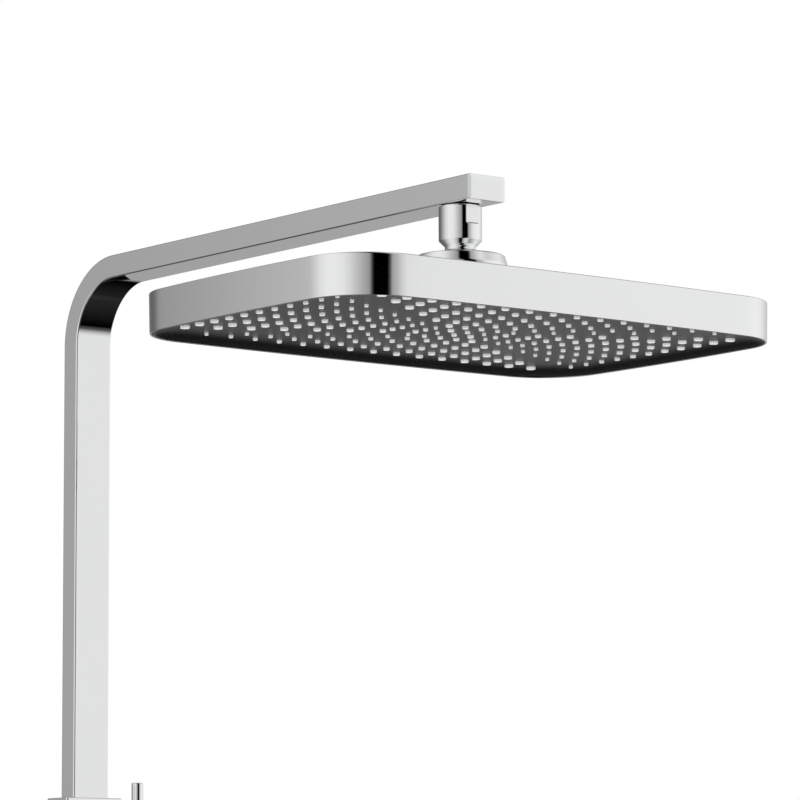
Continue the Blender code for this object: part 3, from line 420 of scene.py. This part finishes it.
def arm_path(start, end, bend_steps=48):
    """Points, and the outward direction at each, up the riser, round the bend and along the arm."""
    t = np.linspace(0, np.pi / 2, bend_steps)
    arc = np.stack([0 * t, bend_y + bend_middle * np.cos(t), bend_z + bend_middle * np.sin(t)], -1)
    foot, last = [0, arc[0, 1], start], [0, end, arc[-1, 2]]
    near, far = arc[0] - [0, 0, BEND_GUARD], arc[-1] - [0, BEND_GUARD, 0]
    points = np.concatenate([[foot, near], arc, [far, last]])
    t = np.concatenate([[0, 0], t, [np.pi / 2, np.pi / 2]])
    return points, np.stack([0 * t, np.cos(t), np.sin(t)], -1)


def carried(section, points, out):
    """A flat section carried along a path: its first number across the wall, its second outwards."""
    across = np.array([1.0, 0, 0])
    return points[:, None] + section[None, :, :1] * across + section[None, :, 1:] * out[:, None]


outer = rounded_rectangle(TUBE_WIDTH, TUBE_DEPTH, EDGE)
inner = rounded_rectangle(TUBE_WIDTH - 2 * TUBE_WALL, TUBE_DEPTH - 2 * TUBE_WALL, EDGE / 2)
points, out = arm_path(tube_low[2], cap_low[1] + CAP_THICKNESS)
tube_grid = np.concatenate([carried(outer, points, out), carried(inner, points, out)[::-1]])
piece("flat_tube", [(tube_grid, True)], chrome, "column", ["riser_tube"])

# %% End cap
# A plate with a small bevel, flush with the tube all round: its steps in from the tube's outline,
# and back from its own front.
CAP_BEVEL = 0.00012
CAP_STEPS = [(0.0022, 0.0023), (0, CAP_THICKNESS), (0, CAP_BEVEL), (CAP_BEVEL * 0.3, CAP_BEVEL * 0.3),
             (CAP_BEVEL, 0), (0.003, 0)]
CAP_CORNER = 0.0003
cap_rows = np.stack([level_ring(TUBE_WIDTH - 2 * inset, TUBE_DEPTH - 2 * inset,
                                max(EDGE - inset, CAP_CORNER), back) for inset, back in CAP_STEPS])
cap_grid = np.stack([cap_rows[..., 0], cap_low[1] + cap_rows[..., 2], cap_middle[2] + cap_rows[..., 1]], -1)
piece("arm_cap", [(cap_grid, False)], chrome, "column", ["arm_end_cap"])


# %% [markdown]
# ## The swivel nut and the ball
#
# Under the arm a round nut holds the ball that the head hangs from. It is turned, then milled
# with two flats for a spanner. The flats are worked out, not cut with a Boolean: at each angle
# the radius is the smaller of the cylinder's and the flat plane's, which gives clean quads.

# %% Places on the nut's axis
nut_low, nut_high, nut_middle = middle_of("swivel_nut")
nut_axis = np.array([nut_middle[0], nut_middle[1], 0])
nut_foot, nut_top = nut_low[2], nut_high[2]
BALL_RADIUS, BALL_SKIN = 0.0095, 0.0122  # inside the seats, and where the ball shows below the nut
BALL_DROP = 0.0194                      # from the arm's underside to the ball's centre
ball_z = cap_low[2] - BALL_DROP
print("ball centre: %.4f, nut from %.4f to %.4f" % (ball_z, nut_foot, nut_top))

# %% Nut
NUT_RADIUS = nut_high[0] - nut_middle[0]
NUT_CHAMFER = 0.003
NUT_BORE, NUT_ROOM, NUT_MOUTH = 0.0106, 0.0126, 0.0107   # radius above, round and below the ball
LIP_RISE, LIP_RADIUS = 0.0008, 0.0122   # the lip that stands round the washer
FLAT_DEPTH = 0.00105
FLAT_FOOT = nut_top - 0.0103
FLAT_FADE = 0.0012                      # height over which a flat runs out at its foot

# The ball's room narrows to the bore above and to the mouth below, at these heights over its centre.
BORE_END, ROOM_TOP, ROOM_FOOT = 0.0085, 0.0060, -0.0010
side_foot, side_top = FLAT_FOOT - 0.0020, nut_top - 0.0013
lower_profile = eased([(NUT_BORE, ball_z + BORE_END), (NUT_ROOM, ball_z + ROOM_TOP),
                       (NUT_ROOM, ball_z + ROOM_FOOT), (NUT_MOUTH, nut_foot + 0.00005),
                       (NUT_RADIUS - NUT_CHAMFER + 0.0001, nut_foot), (NUT_RADIUS, nut_foot + NUT_CHAMFER),
                       (NUT_RADIUS, side_foot - GUARD)], (0.0003, 0.003, 0.0001, 0.0001, 0.0003), 5)
heights = np.linspace(side_foot, side_top, 34)      # many rows, for a clean foot to the flats
side_profile = np.stack([np.full_like(heights, NUT_RADIUS), heights], -1)
lip_profile = eased([(NUT_RADIUS, side_top + GUARD / 2), (NUT_RADIUS, nut_top + LIP_RISE),
                     (LIP_RADIUS, nut_top + LIP_RISE), (LIP_RADIUS, nut_top), (NUT_BORE, nut_top),
                     (NUT_BORE, nut_top - 0.002)], (0.0009, 0.0002, 0.0001, 0.0002), 7)
plain_nut = turned(np.concatenate([lower_profile, side_profile, lip_profile]), nut_axis, steps=192)


def milled(grid, axis, depth, foot, fade):
    """Draws points in to two planes at +Y and -Y, radius less depth from the axis. Below the foot
    the planes run out in a quarter curve of the cutter's radius, over the height called fade."""
    away = grid - axis
    radius = np.hypot(away[..., 0], away[..., 1])
    share = np.clip((grid[..., 2] - (foot - fade)) / fade, 0, 1)
    plane = NUT_RADIUS - depth * np.sqrt(1 - (1 - share) ** 2)
    limit = plane / np.maximum(np.abs(away[..., 1]) / np.maximum(radius, 1e-9), 1e-6)
    scale = np.where(radius > 0, np.minimum(1.0, limit / np.maximum(radius, 1e-9)), 1.0)
    flat = away * scale[..., None]
    flat[..., 2] = away[..., 2]
    return flat + axis


nut_grid = milled(plain_nut, nut_axis, FLAT_DEPTH, FLAT_FOOT, FLAT_FADE)
piece("nut", [(nut_grid, True)], chrome, "column", ["swivel_nut"], sharp=24)

# %% Washer
WASHER_BORE, WASHER_RADIUS = 0.0104, 0.0119
washer_low, washer_high, _ = middle_of("arm_washer")
washer = eased([(WASHER_BORE, washer_low[2]), (WASHER_RADIUS, washer_low[2]),
                (WASHER_RADIUS, washer_high[2]), (WASHER_BORE, washer_high[2])], 0.0002, 4)
piece("seal_washer", [(turned(washer, nut_axis), True)], rubber_black, "column", ["arm_washer"])

# %% Ball and stem
# The ball runs from its top hole round to the collar, by angle from straight up. It is small
# inside the seats and wide below them, where it fills the nut's mouth at every tilt.
BALL_START, SKIN_START, BALL_END = 19.7, 109.9, 126.5
SKIN_STEP = 0.1
COLLAR_RADIUS, COLLAR_DROP, COLLAR_FOOT_DROP = 0.0101, 0.0081, 0.0093
STEM_RADIUS, STEM_BORE = 0.008, 0.0032
stem_low, _, _ = middle_of("ball_stem")
seated = np.linspace(BALL_START, SKIN_START - SKIN_STEP, 24)
shown = np.linspace(SKIN_START + SKIN_STEP, BALL_END, 12)
arc = np.radians(np.concatenate([seated, shown]))
reach = np.repeat([BALL_RADIUS, BALL_SKIN], [len(seated), len(shown)])
ball_rows = np.stack([reach * np.sin(arc), ball_z + reach * np.cos(arc)], -1)
collar_top, collar_foot = ball_z - COLLAR_DROP, ball_z - COLLAR_FOOT_DROP
neck_rows = eased([ball_rows[-1], (COLLAR_RADIUS - 0.0003, collar_top), (COLLAR_RADIUS, collar_foot),
                   (STEM_RADIUS, collar_foot), (STEM_RADIUS, stem_low[2]), (STEM_BORE, stem_low[2])],
                  (0.0008, 0.0001, 0.0002, 0.0004), 5)
stem = np.concatenate([ball_rows, neck_rows[1:]])
piece("ball_and_stem", [(turned(stem, nut_axis), True)], chrome, "head", ["ball_stem"])


# %% [markdown]
# ## The rain head
#
# The head is a shallow tray, about 360 by 245 mm. Its sides bow out a little and run into round
# corners, which is what makes the chrome rim catch the room so softly. The outline is four pairs
# of tangent arcs, so its direction is known exactly at every point and any inset is a plain
# step along that direction.

# %% Head outline
shell_low, shell_high, shell_middle = middle_of("head_shell")
head_axis = np.array([shell_middle[0], shell_middle[1], 0])
FLARE = 0.0005                          # how far the rim leans out over its height
HEAD_LENGTH, HEAD_WIDTH = (shell_high - shell_low)[:2] - 2 * FLARE
CORNER = 0.043                          # radius of the corners
LONG_TURN, SHORT_TURN = radians(2.4), radians(3.0)   # how far a side turns from middle to corner


def head_outline(side_steps=14, corner_steps=26):
    """Points and outward directions of the head's lower edge, by direction angle q. A bowed side
    is an arc of radius a + r or b + r, and a corner one of radius r, so that each arc starts
    in the direction in which the last one ends. Returns one quarter mirrored into four."""
    half_length, half_width = HEAD_LENGTH / 2 - CORNER, HEAD_WIDTH / 2 - CORNER
    turns = np.array([[np.sin(LONG_TURN), 1 - np.cos(SHORT_TURN)],
                      [1 - np.cos(LONG_TURN), np.sin(SHORT_TURN)]])
    a, b = np.linalg.solve(turns, [half_length, half_width])
    q = np.linspace(0, LONG_TURN, side_steps, endpoint=False)
    long_side = np.stack([(a + CORNER) * np.sin(q), half_width - a + (a + CORNER) * np.cos(q)], -1)
    p = np.linspace(LONG_TURN, np.pi / 2 - SHORT_TURN, corner_steps, endpoint=False)
    corner = np.stack([a * np.sin(LONG_TURN) + CORNER * np.sin(p),
                       half_width - a + a * np.cos(LONG_TURN) + CORNER * np.cos(p)], -1)
    s = np.linspace(SHORT_TURN, 0, side_steps, endpoint=False)
    short_side = np.stack([half_length - b + (b + CORNER) * np.cos(s), (b + CORNER) * np.sin(s)], -1)
    points = np.concatenate([long_side, corner, short_side])
    angle = np.concatenate([q, p, np.pi / 2 - s])
    ways = np.stack([np.sin(angle), np.cos(angle)], -1)
    tip, tip_way = np.array([[half_length + CORNER, 0.0]]), np.array([[1.0, 0.0]])

    def mirrored(quarter, end):
        half = np.concatenate([quarter, end, quarter[:0:-1] * [1, -1]])
        return np.concatenate([half, quarter[:1] * [1, -1], half[:0:-1] * [-1, 1]])

    return mirrored(points, tip), mirrored(ways, tip_way)


edge, edge_way = head_outline()
print("head outline:", len(edge), "points,", np.ptp(edge, axis=0).round(4), "m")


def outline_rows(rows):
    """Rows of the outline at (inset, height): each point steps inwards along its own direction."""
    rows = np.asarray(rows, float)
    flat = edge[None] - rows[:, :1, None] * edge_way[None]
    high = np.broadcast_to(rows[:, 1][:, None, None], flat.shape[:2] + (1,))
    return np.concatenate([flat, high], axis=-1) + head_axis


def closing_rows(row, inner_radius, steps=5):
    """Rows that run from an outline row to a circle about the head's axis, in even shares."""
    away = row - head_axis
    angle = np.arctan2(away[:, 1], away[:, 0])
    circle = np.stack([inner_radius * np.cos(angle), inner_radius * np.sin(angle), away[:, 2]], -1)
    share = np.linspace(0, 1, steps + 1)[1:, None, None]
    return (1 - share) * away + share * circle + head_axis


# %% [markdown]
# The shell is one skin: up the inside, over the lip, up the rim with its soft edges, and across
# the top to the boss. The rim leans out by half a millimetre towards its top.

# %% Shell
TOP, FOOT = shell_high[2], shell_low[2]
WALL = 0.0012
TOP_REACH = 0.02                        # how far the outline is followed in across the top
STEM_HOLE = 0.0083


def closed_in(rows, hole, steps=5):
    """Outline rows with both ends run in to a circle of the hole's radius."""
    first, last = closing_rows(rows[0], hole, steps), closing_rows(rows[-1], hole, steps)
    return np.concatenate([first[::-1], rows, last])


shell_profile = eased([(WALL + TOP_REACH, TOP - WALL), (WALL, TOP - WALL), (WALL, FOOT), (0, FOOT),
                       (-FLARE, TOP), (TOP_REACH, TOP)], (0.0005, 0.00045, 0.00045, 0.0009), 7)
shell_grid = closed_in(outline_rows(shell_profile), STEM_HOLE)
piece("rain_head_shell", [(shell_grid, True)], chrome, "head", ["head_shell"])

# %% Boss
# A low cone on a steep wall, hollow under its skin, with a sleeve round the stem. The outside and
# inside are points of (radius, drop from the top).
boss_low, boss_high, boss_middle = middle_of("head_boss")
boss_radius = boss_high[0] - boss_middle[0]
boss_height = boss_high[2] - boss_low[2]
BOSS_RIM = 0.0022                       # width of the boss's foot
SLEEVE = STEM_HOLE + 0.004
BOSS_OUTSIDE = [(STEM_HOLE, boss_height), (STEM_HOLE, 0), (0.0100, 0), (0.0283, 0.0034), (0.0300, 0.0096),
                (boss_radius, boss_height)]
BOSS_INSIDE = [(boss_radius - BOSS_RIM, boss_height), (0.0276, 0.0107), (0.0256, 0.0058), (SLEEVE, 0.0042),
               (SLEEVE, boss_height)]
BOSS_ROUNDING = (0.0002, 0.0003, 0.0008, 0.0004, 0.0002, 0.0002, 0.0004, 0.0015, 0.0003)
boss_profile = np.array(BOSS_OUTSIDE + BOSS_INSIDE) * [1, -1] + [0, boss_high[2]]
boss_grid = turned(eased(boss_profile, BOSS_ROUNDING, 7), head_axis, steps=144)
piece("boss", [(boss_grid, True)], chrome, "head", ["head_boss"])


# %% [markdown]
# ## The spray face
#
# Under the head sits a dark dish: a flat face set 4 mm up inside the rim, which curves down to
# the chrome lip all round. The dish hides the shell's inside, and the curve turns the gloss away
# from the light, which is why the edge looks darker than the middle.

# %% Face
plate_low, plate_high, _ = middle_of("spray_plate")
FACE = plate_low[2]
DISH_GAP = 0.0003                       # between the dish and the shell, and up from the lip
DISH_REACH = 0.03                       # how far the outline is followed in across the face
DISH_WALL = 0.0006
COVE = 0.020                            # how far in from the wall the face starts to curve down
POLE = 0.0005
dish_inset, dish_foot = WALL + DISH_GAP, FOOT + DISH_GAP

# The cove is a quarter of an ellipse, from the face down to the dish's foot.
cove_turn = np.linspace(0, np.pi / 2, 14)
cove = np.stack([dish_inset + DISH_WALL + COVE * (1 - np.sin(cove_turn)),
                 FACE - (FACE - dish_foot) * (1 - np.cos(cove_turn))], -1)
wall_profile = eased([cove[-1], (dish_inset, dish_foot), (dish_inset, plate_high[2]),
                      (DISH_REACH, plate_high[2])], (0.0002, 0.0004), 5)
dish_profile = np.concatenate([[(DISH_REACH, FACE)], cove[:-1], wall_profile])
dish_grid = closed_in(outline_rows(dish_profile), POLE, 6)
piece("spray_dish", [(dish_grid, False)], face_finish, "head", ["spray_plate"])


# %% [markdown]
# ## The nozzles
#
# The rubber nozzles stand in nested rings. A ring has four straight rows that follow one another
# like the vanes of a pinwheel, and along each row the nozzles grow from thin to wide. So three
# numbers set a row: its distance out, its half length and its width at the far end. Each nozzle
# is a short turned stub with a rounded tip and a small hole, and all of them are one array.

# %% Nozzle places
# A pair of numbers is a value for ring 0 and what each further ring adds to it.
END_COUNTS = (3, 5, 6, 7, 8, 9, 10, 11)     # nozzles in an end row of each ring
END_HALF, END_DISTANCE, END_LEAN = (0.0102, 0.0098), (0.02845, 0.01825), (0.0, 0.00035)
SIDE_HALF, SIDE_DISTANCE, SIDE_LEAN = (-0.0170, 0.0215), (-0.0083, 0.0151), (-0.0009, 0.0009)
SIDE_HALF_LEAST = 0.0135
THINNEST, WIDEST = 0.00265, (0.00395, 0.00035)


def at_ring(pair, ring):
    """The first value plus ring times the second."""
    return pair[0] + pair[1] * ring


def nozzle_row(count, half, distance, lean, widest, quarter_turn):
    """A row across X at a distance along +Y, shifted by lean, then turned clockwise by quarters."""
    width = np.linspace(THINNEST, widest, count)
    x, y = np.linspace(-half, half, count) + lean, np.full(count, distance)
    for _ in range(quarter_turn):
        x, y = y, -x
    return np.stack([x, y, width], -1)


nozzle_rows = []
for ring, end_count in enumerate(END_COUNTS):
    widest = at_ring(WIDEST, ring)
    for quarter in range(4):
        if quarter % 2:
            nozzle_rows.append(nozzle_row(end_count, at_ring(END_HALF, ring), at_ring(END_DISTANCE, ring),
                                          at_ring(END_LEAN, ring), widest, quarter))
        elif ring:                      # ring 0 has end rows only
            half = max(SIDE_HALF_LEAST, at_ring(SIDE_HALF, ring))
            nozzle_rows.append(nozzle_row(2 * ring + 1, half, at_ring(SIDE_DISTANCE, ring),
                                          at_ring(SIDE_LEAN, ring), widest, quarter))
spots = np.concatenate(nozzle_rows)
print("nozzles:", len(spots), "from", (spots[:, 2].min() * 1000).round(2), "to",
      (spots[:, 2].max() * 1000).round(2), "mm wide")

# %% Nozzle stubs
# A stub points down. Its rows: share of its half width, radius added to that, and height over the
# face as a share of its rise.
NOZZLE_RISE = 0.0017
NOZZLE_SIDES = 14
STUB = np.array([(1.0, 0, 1 / 3), (1.0, 0, 0), (0.97, 0, -13 / 18), (0.93, 0, -11 / 12), (0.84, 0, -1),
                 (0.0, 0.0006, -1), (0.0, 0.0005, -1 / 2)])
angle = np.linspace(0, 2 * np.pi, NOZZLE_SIDES, endpoint=False)
radius = (spots[:, 2, None] / 2 * STUB[:, 0] + STUB[:, 1])[..., None]
x = head_axis[0] + spots[:, 0, None, None] + radius * np.cos(angle)
y = head_axis[1] + spots[:, 1, None, None] + radius * np.sin(angle)
z = np.broadcast_to(FACE + NOZZLE_RISE * STUB[:, 2, None], x.shape)
stubs = np.stack([x, y, z], -1)
piece("rain_nozzles", [(stub, False) for stub in stubs], rubber_grey, "head", ["nozzle_mat"], 40)


# %% [markdown]
# ## The handset slider
#
# A chromed block rides on the riser. A round clamp with an upright lever rod locks it from the
# side, and a split, tapered socket at the front holds a handset. These are small turned and
# rounded parts, so each is one eased profile or one section carried round.

# %% Slider block
block_low, block_high, block_middle = middle_of("slider_body")
block_foot, block_top = block_low[2], block_high[2]
half_x, half_y = (block_high - block_low)[:2] / 2
BLOCK_CORNER = 0.0015
LINER_ROOM = 0.0018                     # from the tube to the block's hole, for the plastic liner
# A softened edge: how far in from the side, and how far up from the face, at each of its rows.
SOFT_EDGE = np.array([(0.0006, 0.0), (0.00025, 0.0001), (0.0001, 0.00025), (0.0, 0.0006)])


def ring_rows(rows, centre):
    """Rounded rectangles at (half width, half depth, corner radius, height)."""
    rings = [level_ring(2 * width, 2 * depth, radius, height) for width, depth, radius, height in rows]
    return np.stack(rings) + np.array([centre[0], centre[1], 0])


hole = (TUBE_WIDTH / 2 + LINER_ROOM, TUBE_DEPTH / 2 + LINER_ROOM, EDGE + LINER_ROOM)
block_rows = [(*hole, block_top), (*hole, block_foot)]
block_rows += [(half_x - inset, half_y - inset, BLOCK_CORNER, block_foot + up)
               for inset, up in SOFT_EDGE]
block_rows += [(half_x - inset, half_y - inset, BLOCK_CORNER, block_top - up)
               for inset, up in SOFT_EDGE[::-1]]
piece("slider_block", [(ring_rows(block_rows, block_middle), True)], chrome, "slider", ["slider_body"])

# %% Clamp and lever
SPINDLE_RADIUS, HUB_RADIUS = 0.003, 0.0075
HUB_GAP = 0.0003                        # between the block's side and the hub
spindle_low, spindle_high, _ = middle_of("clamp_spindle")
axis_y, axis_z = block_middle[1:]


def rod_profile(radius, start, end, easing, steps):
    """A solid round bar from start to end, closed at its axis, with eased rims."""
    return eased([(TIP, start), (radius, start), (radius, end), (TIP, end)], easing, steps)


hub_start = half_x + HUB_GAP
hub = eased([(TIP, spindle_low[0]), (SPINDLE_RADIUS, spindle_low[0]), (SPINDLE_RADIUS, hub_start),
             (HUB_RADIUS, hub_start), (HUB_RADIUS, spindle_high[0]), (TIP, spindle_high[0])], 0.0009, 6)
piece("clamp_hub", [(turned(hub, (0, axis_y, axis_z), "x"), False)], chrome, "lever", ["clamp_spindle"])
rod_low, rod_high, rod_middle = middle_of("lever_rod")
rod = rod_profile((rod_high[0] - rod_low[0]) / 2, rod_low[2], rod_high[2], 0.0007, 6)
piece("lever_pin", [(turned(rod, (rod_middle[0], rod_middle[1], 0)), False)], chrome, "lever", ["lever_rod"])

# %% Socket arm
# A round neck, a flat web and a round tongue that stands between the socket's two ears.
NECK_RADIUS, NECK_LENGTH, NECK_GAP = 0.007, 0.012, 0.0003
TONGUE_HALF = 0.004
WEB_HEIGHT, WEB_REACH = 0.0125, 0.010   # the web runs a little way into the neck
neck_start = block_low[1]
pivot_y = middle_of("socket_screw")[2][1]


def level_bar(width, height, corner, side, start, end):
    """A rounded bar that runs along Y between two places, to one side of the middle."""
    bar = rounded_rectangle(width, height, corner, 4)
    return np.stack([np.stack([side + bar[:, 0], np.full(len(bar), y), axis_z + bar[:, 1]], -1)
                     for y in (start, end)])


neck = rod_profile(NECK_RADIUS, NECK_GAP, NECK_LENGTH, 0.0008, 6)
tongue = rod_profile(NECK_RADIUS, -TONGUE_HALF, TONGUE_HALF, 0.0005, 5)
web = level_bar(2 * TONGUE_HALF, WEB_HEIGHT, 0.0005, 0, pivot_y, neck_start - WEB_REACH)
piece("socket_arm", [(turned(neck, (0, neck_start, axis_z), "out"), False),
                     (turned(tongue, (0, pivot_y, axis_z), "x"), False), (web, False)],
      chrome, "slider", ["socket_neck"])

# %% Handset cup
# A tapered ring, open at the front for the hose, on two ears that hold the tongue.
CUP_RADIUS, BORE_LOW, BORE_HIGH = 0.0165, 0.0110, 0.0125
CUP_REACH = 0.026                       # from the pivot to the cup's axis
CUP_LEDGE = 0.002                       # width of the start of the section's foot
SLOT_HALF = 0.0075
SWEEP_STEPS = 97
EAR_RADIUS, EAR_INSIDE, EAR_OUTSIDE = 0.0072, 0.0043, 0.0078
CHEEK_HEIGHT, CHEEK_END = 0.0134, 0.0128   # a cheek ends this far from the cup's axis, in its wall
cup_low, cup_high, _ = middle_of("handset_socket")
cup_y, cup_foot, cup_top = pivot_y - CUP_REACH, cup_low[2], cup_high[2]
start = (BORE_LOW + CUP_LEDGE, cup_foot)
section = eased([start, (CUP_RADIUS, cup_foot), (CUP_RADIUS, cup_top), (BORE_HIGH, cup_top),
                 (BORE_LOW, cup_foot), start], 0.0009, 5)[:-1]
slot_angle = np.arcsin(SLOT_HALF / CUP_RADIUS)
sweep = np.linspace(-np.pi / 2 + slot_angle, 1.5 * np.pi - slot_angle, SWEEP_STEPS)[:, None]
cup = np.stack([section[:, 0] * np.cos(sweep), cup_y + section[:, 0] * np.sin(sweep),
                np.broadcast_to(section[:, 1], (SWEEP_STEPS, len(section)))], -1)
cup_grids = [(cup, False)]
for side in (1, -1):
    ear = rod_profile(EAR_RADIUS, EAR_INSIDE, EAR_OUTSIDE, 0.0006, 5) * [1, side]
    cup_grids.append((turned(ear, (0, pivot_y, axis_z), "x", 64), False))
    cheek_middle = side * (EAR_INSIDE + EAR_OUTSIDE) / 2
    cup_grids.append((level_bar(EAR_OUTSIDE - EAR_INSIDE, CHEEK_HEIGHT, 0.0004, cheek_middle, pivot_y,
                                cup_y + CHEEK_END), False))
piece("handset_cup", cup_grids, chrome, "socket", ["handset_socket"])


# %% [markdown]
# ## Wall brackets and foot
#
# Two round posts hold the riser off the wall, each under a cover ring, and the tube ends in a
# flat cap with a threaded inlet. They are plain turned parts. The thread is a true helix: its
# radius is a wave of height over pitch less the turn, so the crest climbs one pitch a turn.

# %% Brackets
POST_RADIUS = 0.009
SPIGOT_RADIUS, SPIGOT_LENGTH = 0.0063, 0.009   # the socket in the post, over the plate's stud
COVER_RADIUS, COVER_DEPTH, COVER_WALL = 0.025, 0.0100, 0.0012
COVER_GAP = 0.0003                      # off the wall, and round the post


def bracket_post(wall_end, tube_end):
    """A round post, hollow at its wall end."""
    depth = wall_end + SPIGOT_LENGTH
    return eased([(TIP, depth), (SPIGOT_RADIUS, depth), (SPIGOT_RADIUS, wall_end), (POST_RADIUS, wall_end),
                  (POST_RADIUS, tube_end), (TIP, tube_end)], 0.0005, 5)


def bracket_cover():
    """A shallow dish, open towards the wall, with a hole for the post and a well rounded rim."""
    start = (COVER_RADIUS - COVER_WALL, COVER_GAP)
    hole, back = POST_RADIUS + COVER_GAP, COVER_DEPTH - COVER_WALL
    return eased([start, (COVER_RADIUS, COVER_GAP), (COVER_RADIUS, COVER_DEPTH), (hole, COVER_DEPTH),
                  (hole, back), (COVER_RADIUS - 1.5 * COVER_WALL, back), start],
                 (0.0003, 0.0022, 0.0003, 0.0003, 0.0008), 8)[:-1]


for label in ("upper", "lower"):
    place = (0, 0, middle_of(label + "_wall_plate")[2][2])
    post_low, post_high, _ = middle_of(label + "_post")
    post = turned(bracket_post(-post_high[1], -post_low[1]), place, "out")
    piece(label + "_bracket_post", [(post, False)], chrome, "column", [label + "_post"])
    cover = turned(bracket_cover(), place, "out", 128)
    piece(label + "_cover", [(cover, True)], chrome, "column", [label + "_rosette"])

# %% Foot plate
foot_low, foot_high, foot_middle = middle_of("foot_cap")
FOOT_HOLE = (0.0055, 0.0055, 0.0054)    # half width, half depth and corner: nearly round
FOOT_CORNER = 0.0005
half_x, half_y = TUBE_WIDTH / 2, TUBE_DEPTH / 2
foot_rows = [(*FOOT_HOLE, foot_high[2]), (*FOOT_HOLE, foot_low[2])]
foot_rows += [(half_x - inset, half_y - inset, max(EDGE - inset, FOOT_CORNER), foot_low[2] + up)
              for inset, up in SOFT_EDGE]
foot_rows += [(half_x - inset, half_y - inset, EDGE, foot_high[2] - up)
              for inset, up in SOFT_EDGE[:1:-1] / 2]
piece("foot_plate", [(ring_rows(foot_rows, foot_middle), True)], chrome, "column", ["foot_cap"])

# %% Threaded inlet
inlet_low, inlet_high, inlet_middle = middle_of("inlet_nipple")
inlet_axis = np.array([inlet_middle[0], inlet_middle[1], 0])
PITCH, THREAD = 0.0018, 0.0008
CREST_RADIUS, WATER_BORE, NECK_BORE = 0.0103, 0.003, 0.0052
RUN_OUT = 0.001                         # the thread fades over this height at both ends
THREAD_FOOT, THREAD_TOP, COLLAR_HEIGHT = 0.0008, 0.0035, 0.0029
root_radius = CREST_RADIUS - THREAD
shoulder = foot_low[2] - 0.0003
z = np.linspace(inlet_low[2] + THREAD_FOOT, shoulder - THREAD_TOP, 120)[:, None]
turns = np.linspace(0, 2 * np.pi, 96, endpoint=False)[None]
wave = np.abs(((z / PITCH - turns / (2 * np.pi)) % 1) * 2 - 1)
fade = np.clip(np.minimum(z - z[0], z[-1] - z) / RUN_OUT, 0, 1)
thread_radius = root_radius + THREAD * fade * wave
thread = np.stack([thread_radius * np.cos(turns), thread_radius * np.sin(turns), z + 0 * turns], -1)
below = turned([(WATER_BORE, inlet_high[2]), (WATER_BORE, inlet_low[2]),
                (root_radius - 0.0007, inlet_low[2])], inlet_axis)
above = turned([(root_radius, shoulder - COLLAR_HEIGHT - 0.0004), (CREST_RADIUS, shoulder - COLLAR_HEIGHT),
                (CREST_RADIUS, shoulder), (NECK_BORE, shoulder), (NECK_BORE, inlet_high[2])], inlet_axis)
inlet = np.concatenate([below, thread + inlet_axis, above])
piece("threaded_inlet", [(inlet, True)], chrome, "column", ["inlet_nipple"], sharp=40)


# %% [markdown]
# ## Floor and light
#
# A plain pale floor lies under the foot, and one large soft light hangs over the left. The floor
# takes the soft shadow of the whole column, which tells the eye that the picture has a ground,
# and both stay out of the chrome, which sees only the room.

# %% Floor
FLOOR_Z = tube_low[2] - 0.06
FLOOR_HALF = 4.0
floor_corners = np.array([(-1, -1), (1, -1), (1, 1), (-1, 1)]) * FLOOR_HALF
floor_mesh = bpy.data.meshes.new("studio_floor")
floor_mesh.from_pydata(np.column_stack([floor_corners, np.full(4, FLOOR_Z)]).tolist(), [], [(0, 1, 2, 3)])
floor_mesh.materials.append(finish("floor_paint", (0.90, 0.90, 0.90), 0.0, (0.6, 0.7), 60, 0.05, tint=0.01))
floor = bpy.data.objects.new("studio_floor", floor_mesh)
bpy.context.collection.objects.link(floor)
floor.visible_glossy = False
print("floor at", round(FLOOR_Z, 3))

# %% Light
LIGHT_PLACE, LIGHT_WAY = (-1.5, -2.5, 3.0), Vector((1.5, 2.2, -2.8))
LIGHT_POWER, LIGHT_SIZE = 60, 2.5
lamp = bpy.data.lights.new("soft_light", "AREA")
lamp.energy, lamp.size = LIGHT_POWER, LIGHT_SIZE
light = bpy.data.objects.new("soft_light", lamp)
bpy.context.collection.objects.link(light)
aim = LIGHT_WAY.to_track_quat("-Z", "Y").to_matrix().to_4x4()
light.matrix_world = Matrix.Translation(LIGHT_PLACE) @ aim
light.visible_glossy = False
light.visible_camera = False
print("light:", LIGHT_SIZE, "m wide,", LIGHT_POWER, "W")


# %% [markdown]
# ## Size
#
# The dressed model must stay in the CAD model's box. The last line prints how many faces the
# new pieces have in all.

# %% Finish
print("faces in all:", sum(made_faces.values()))
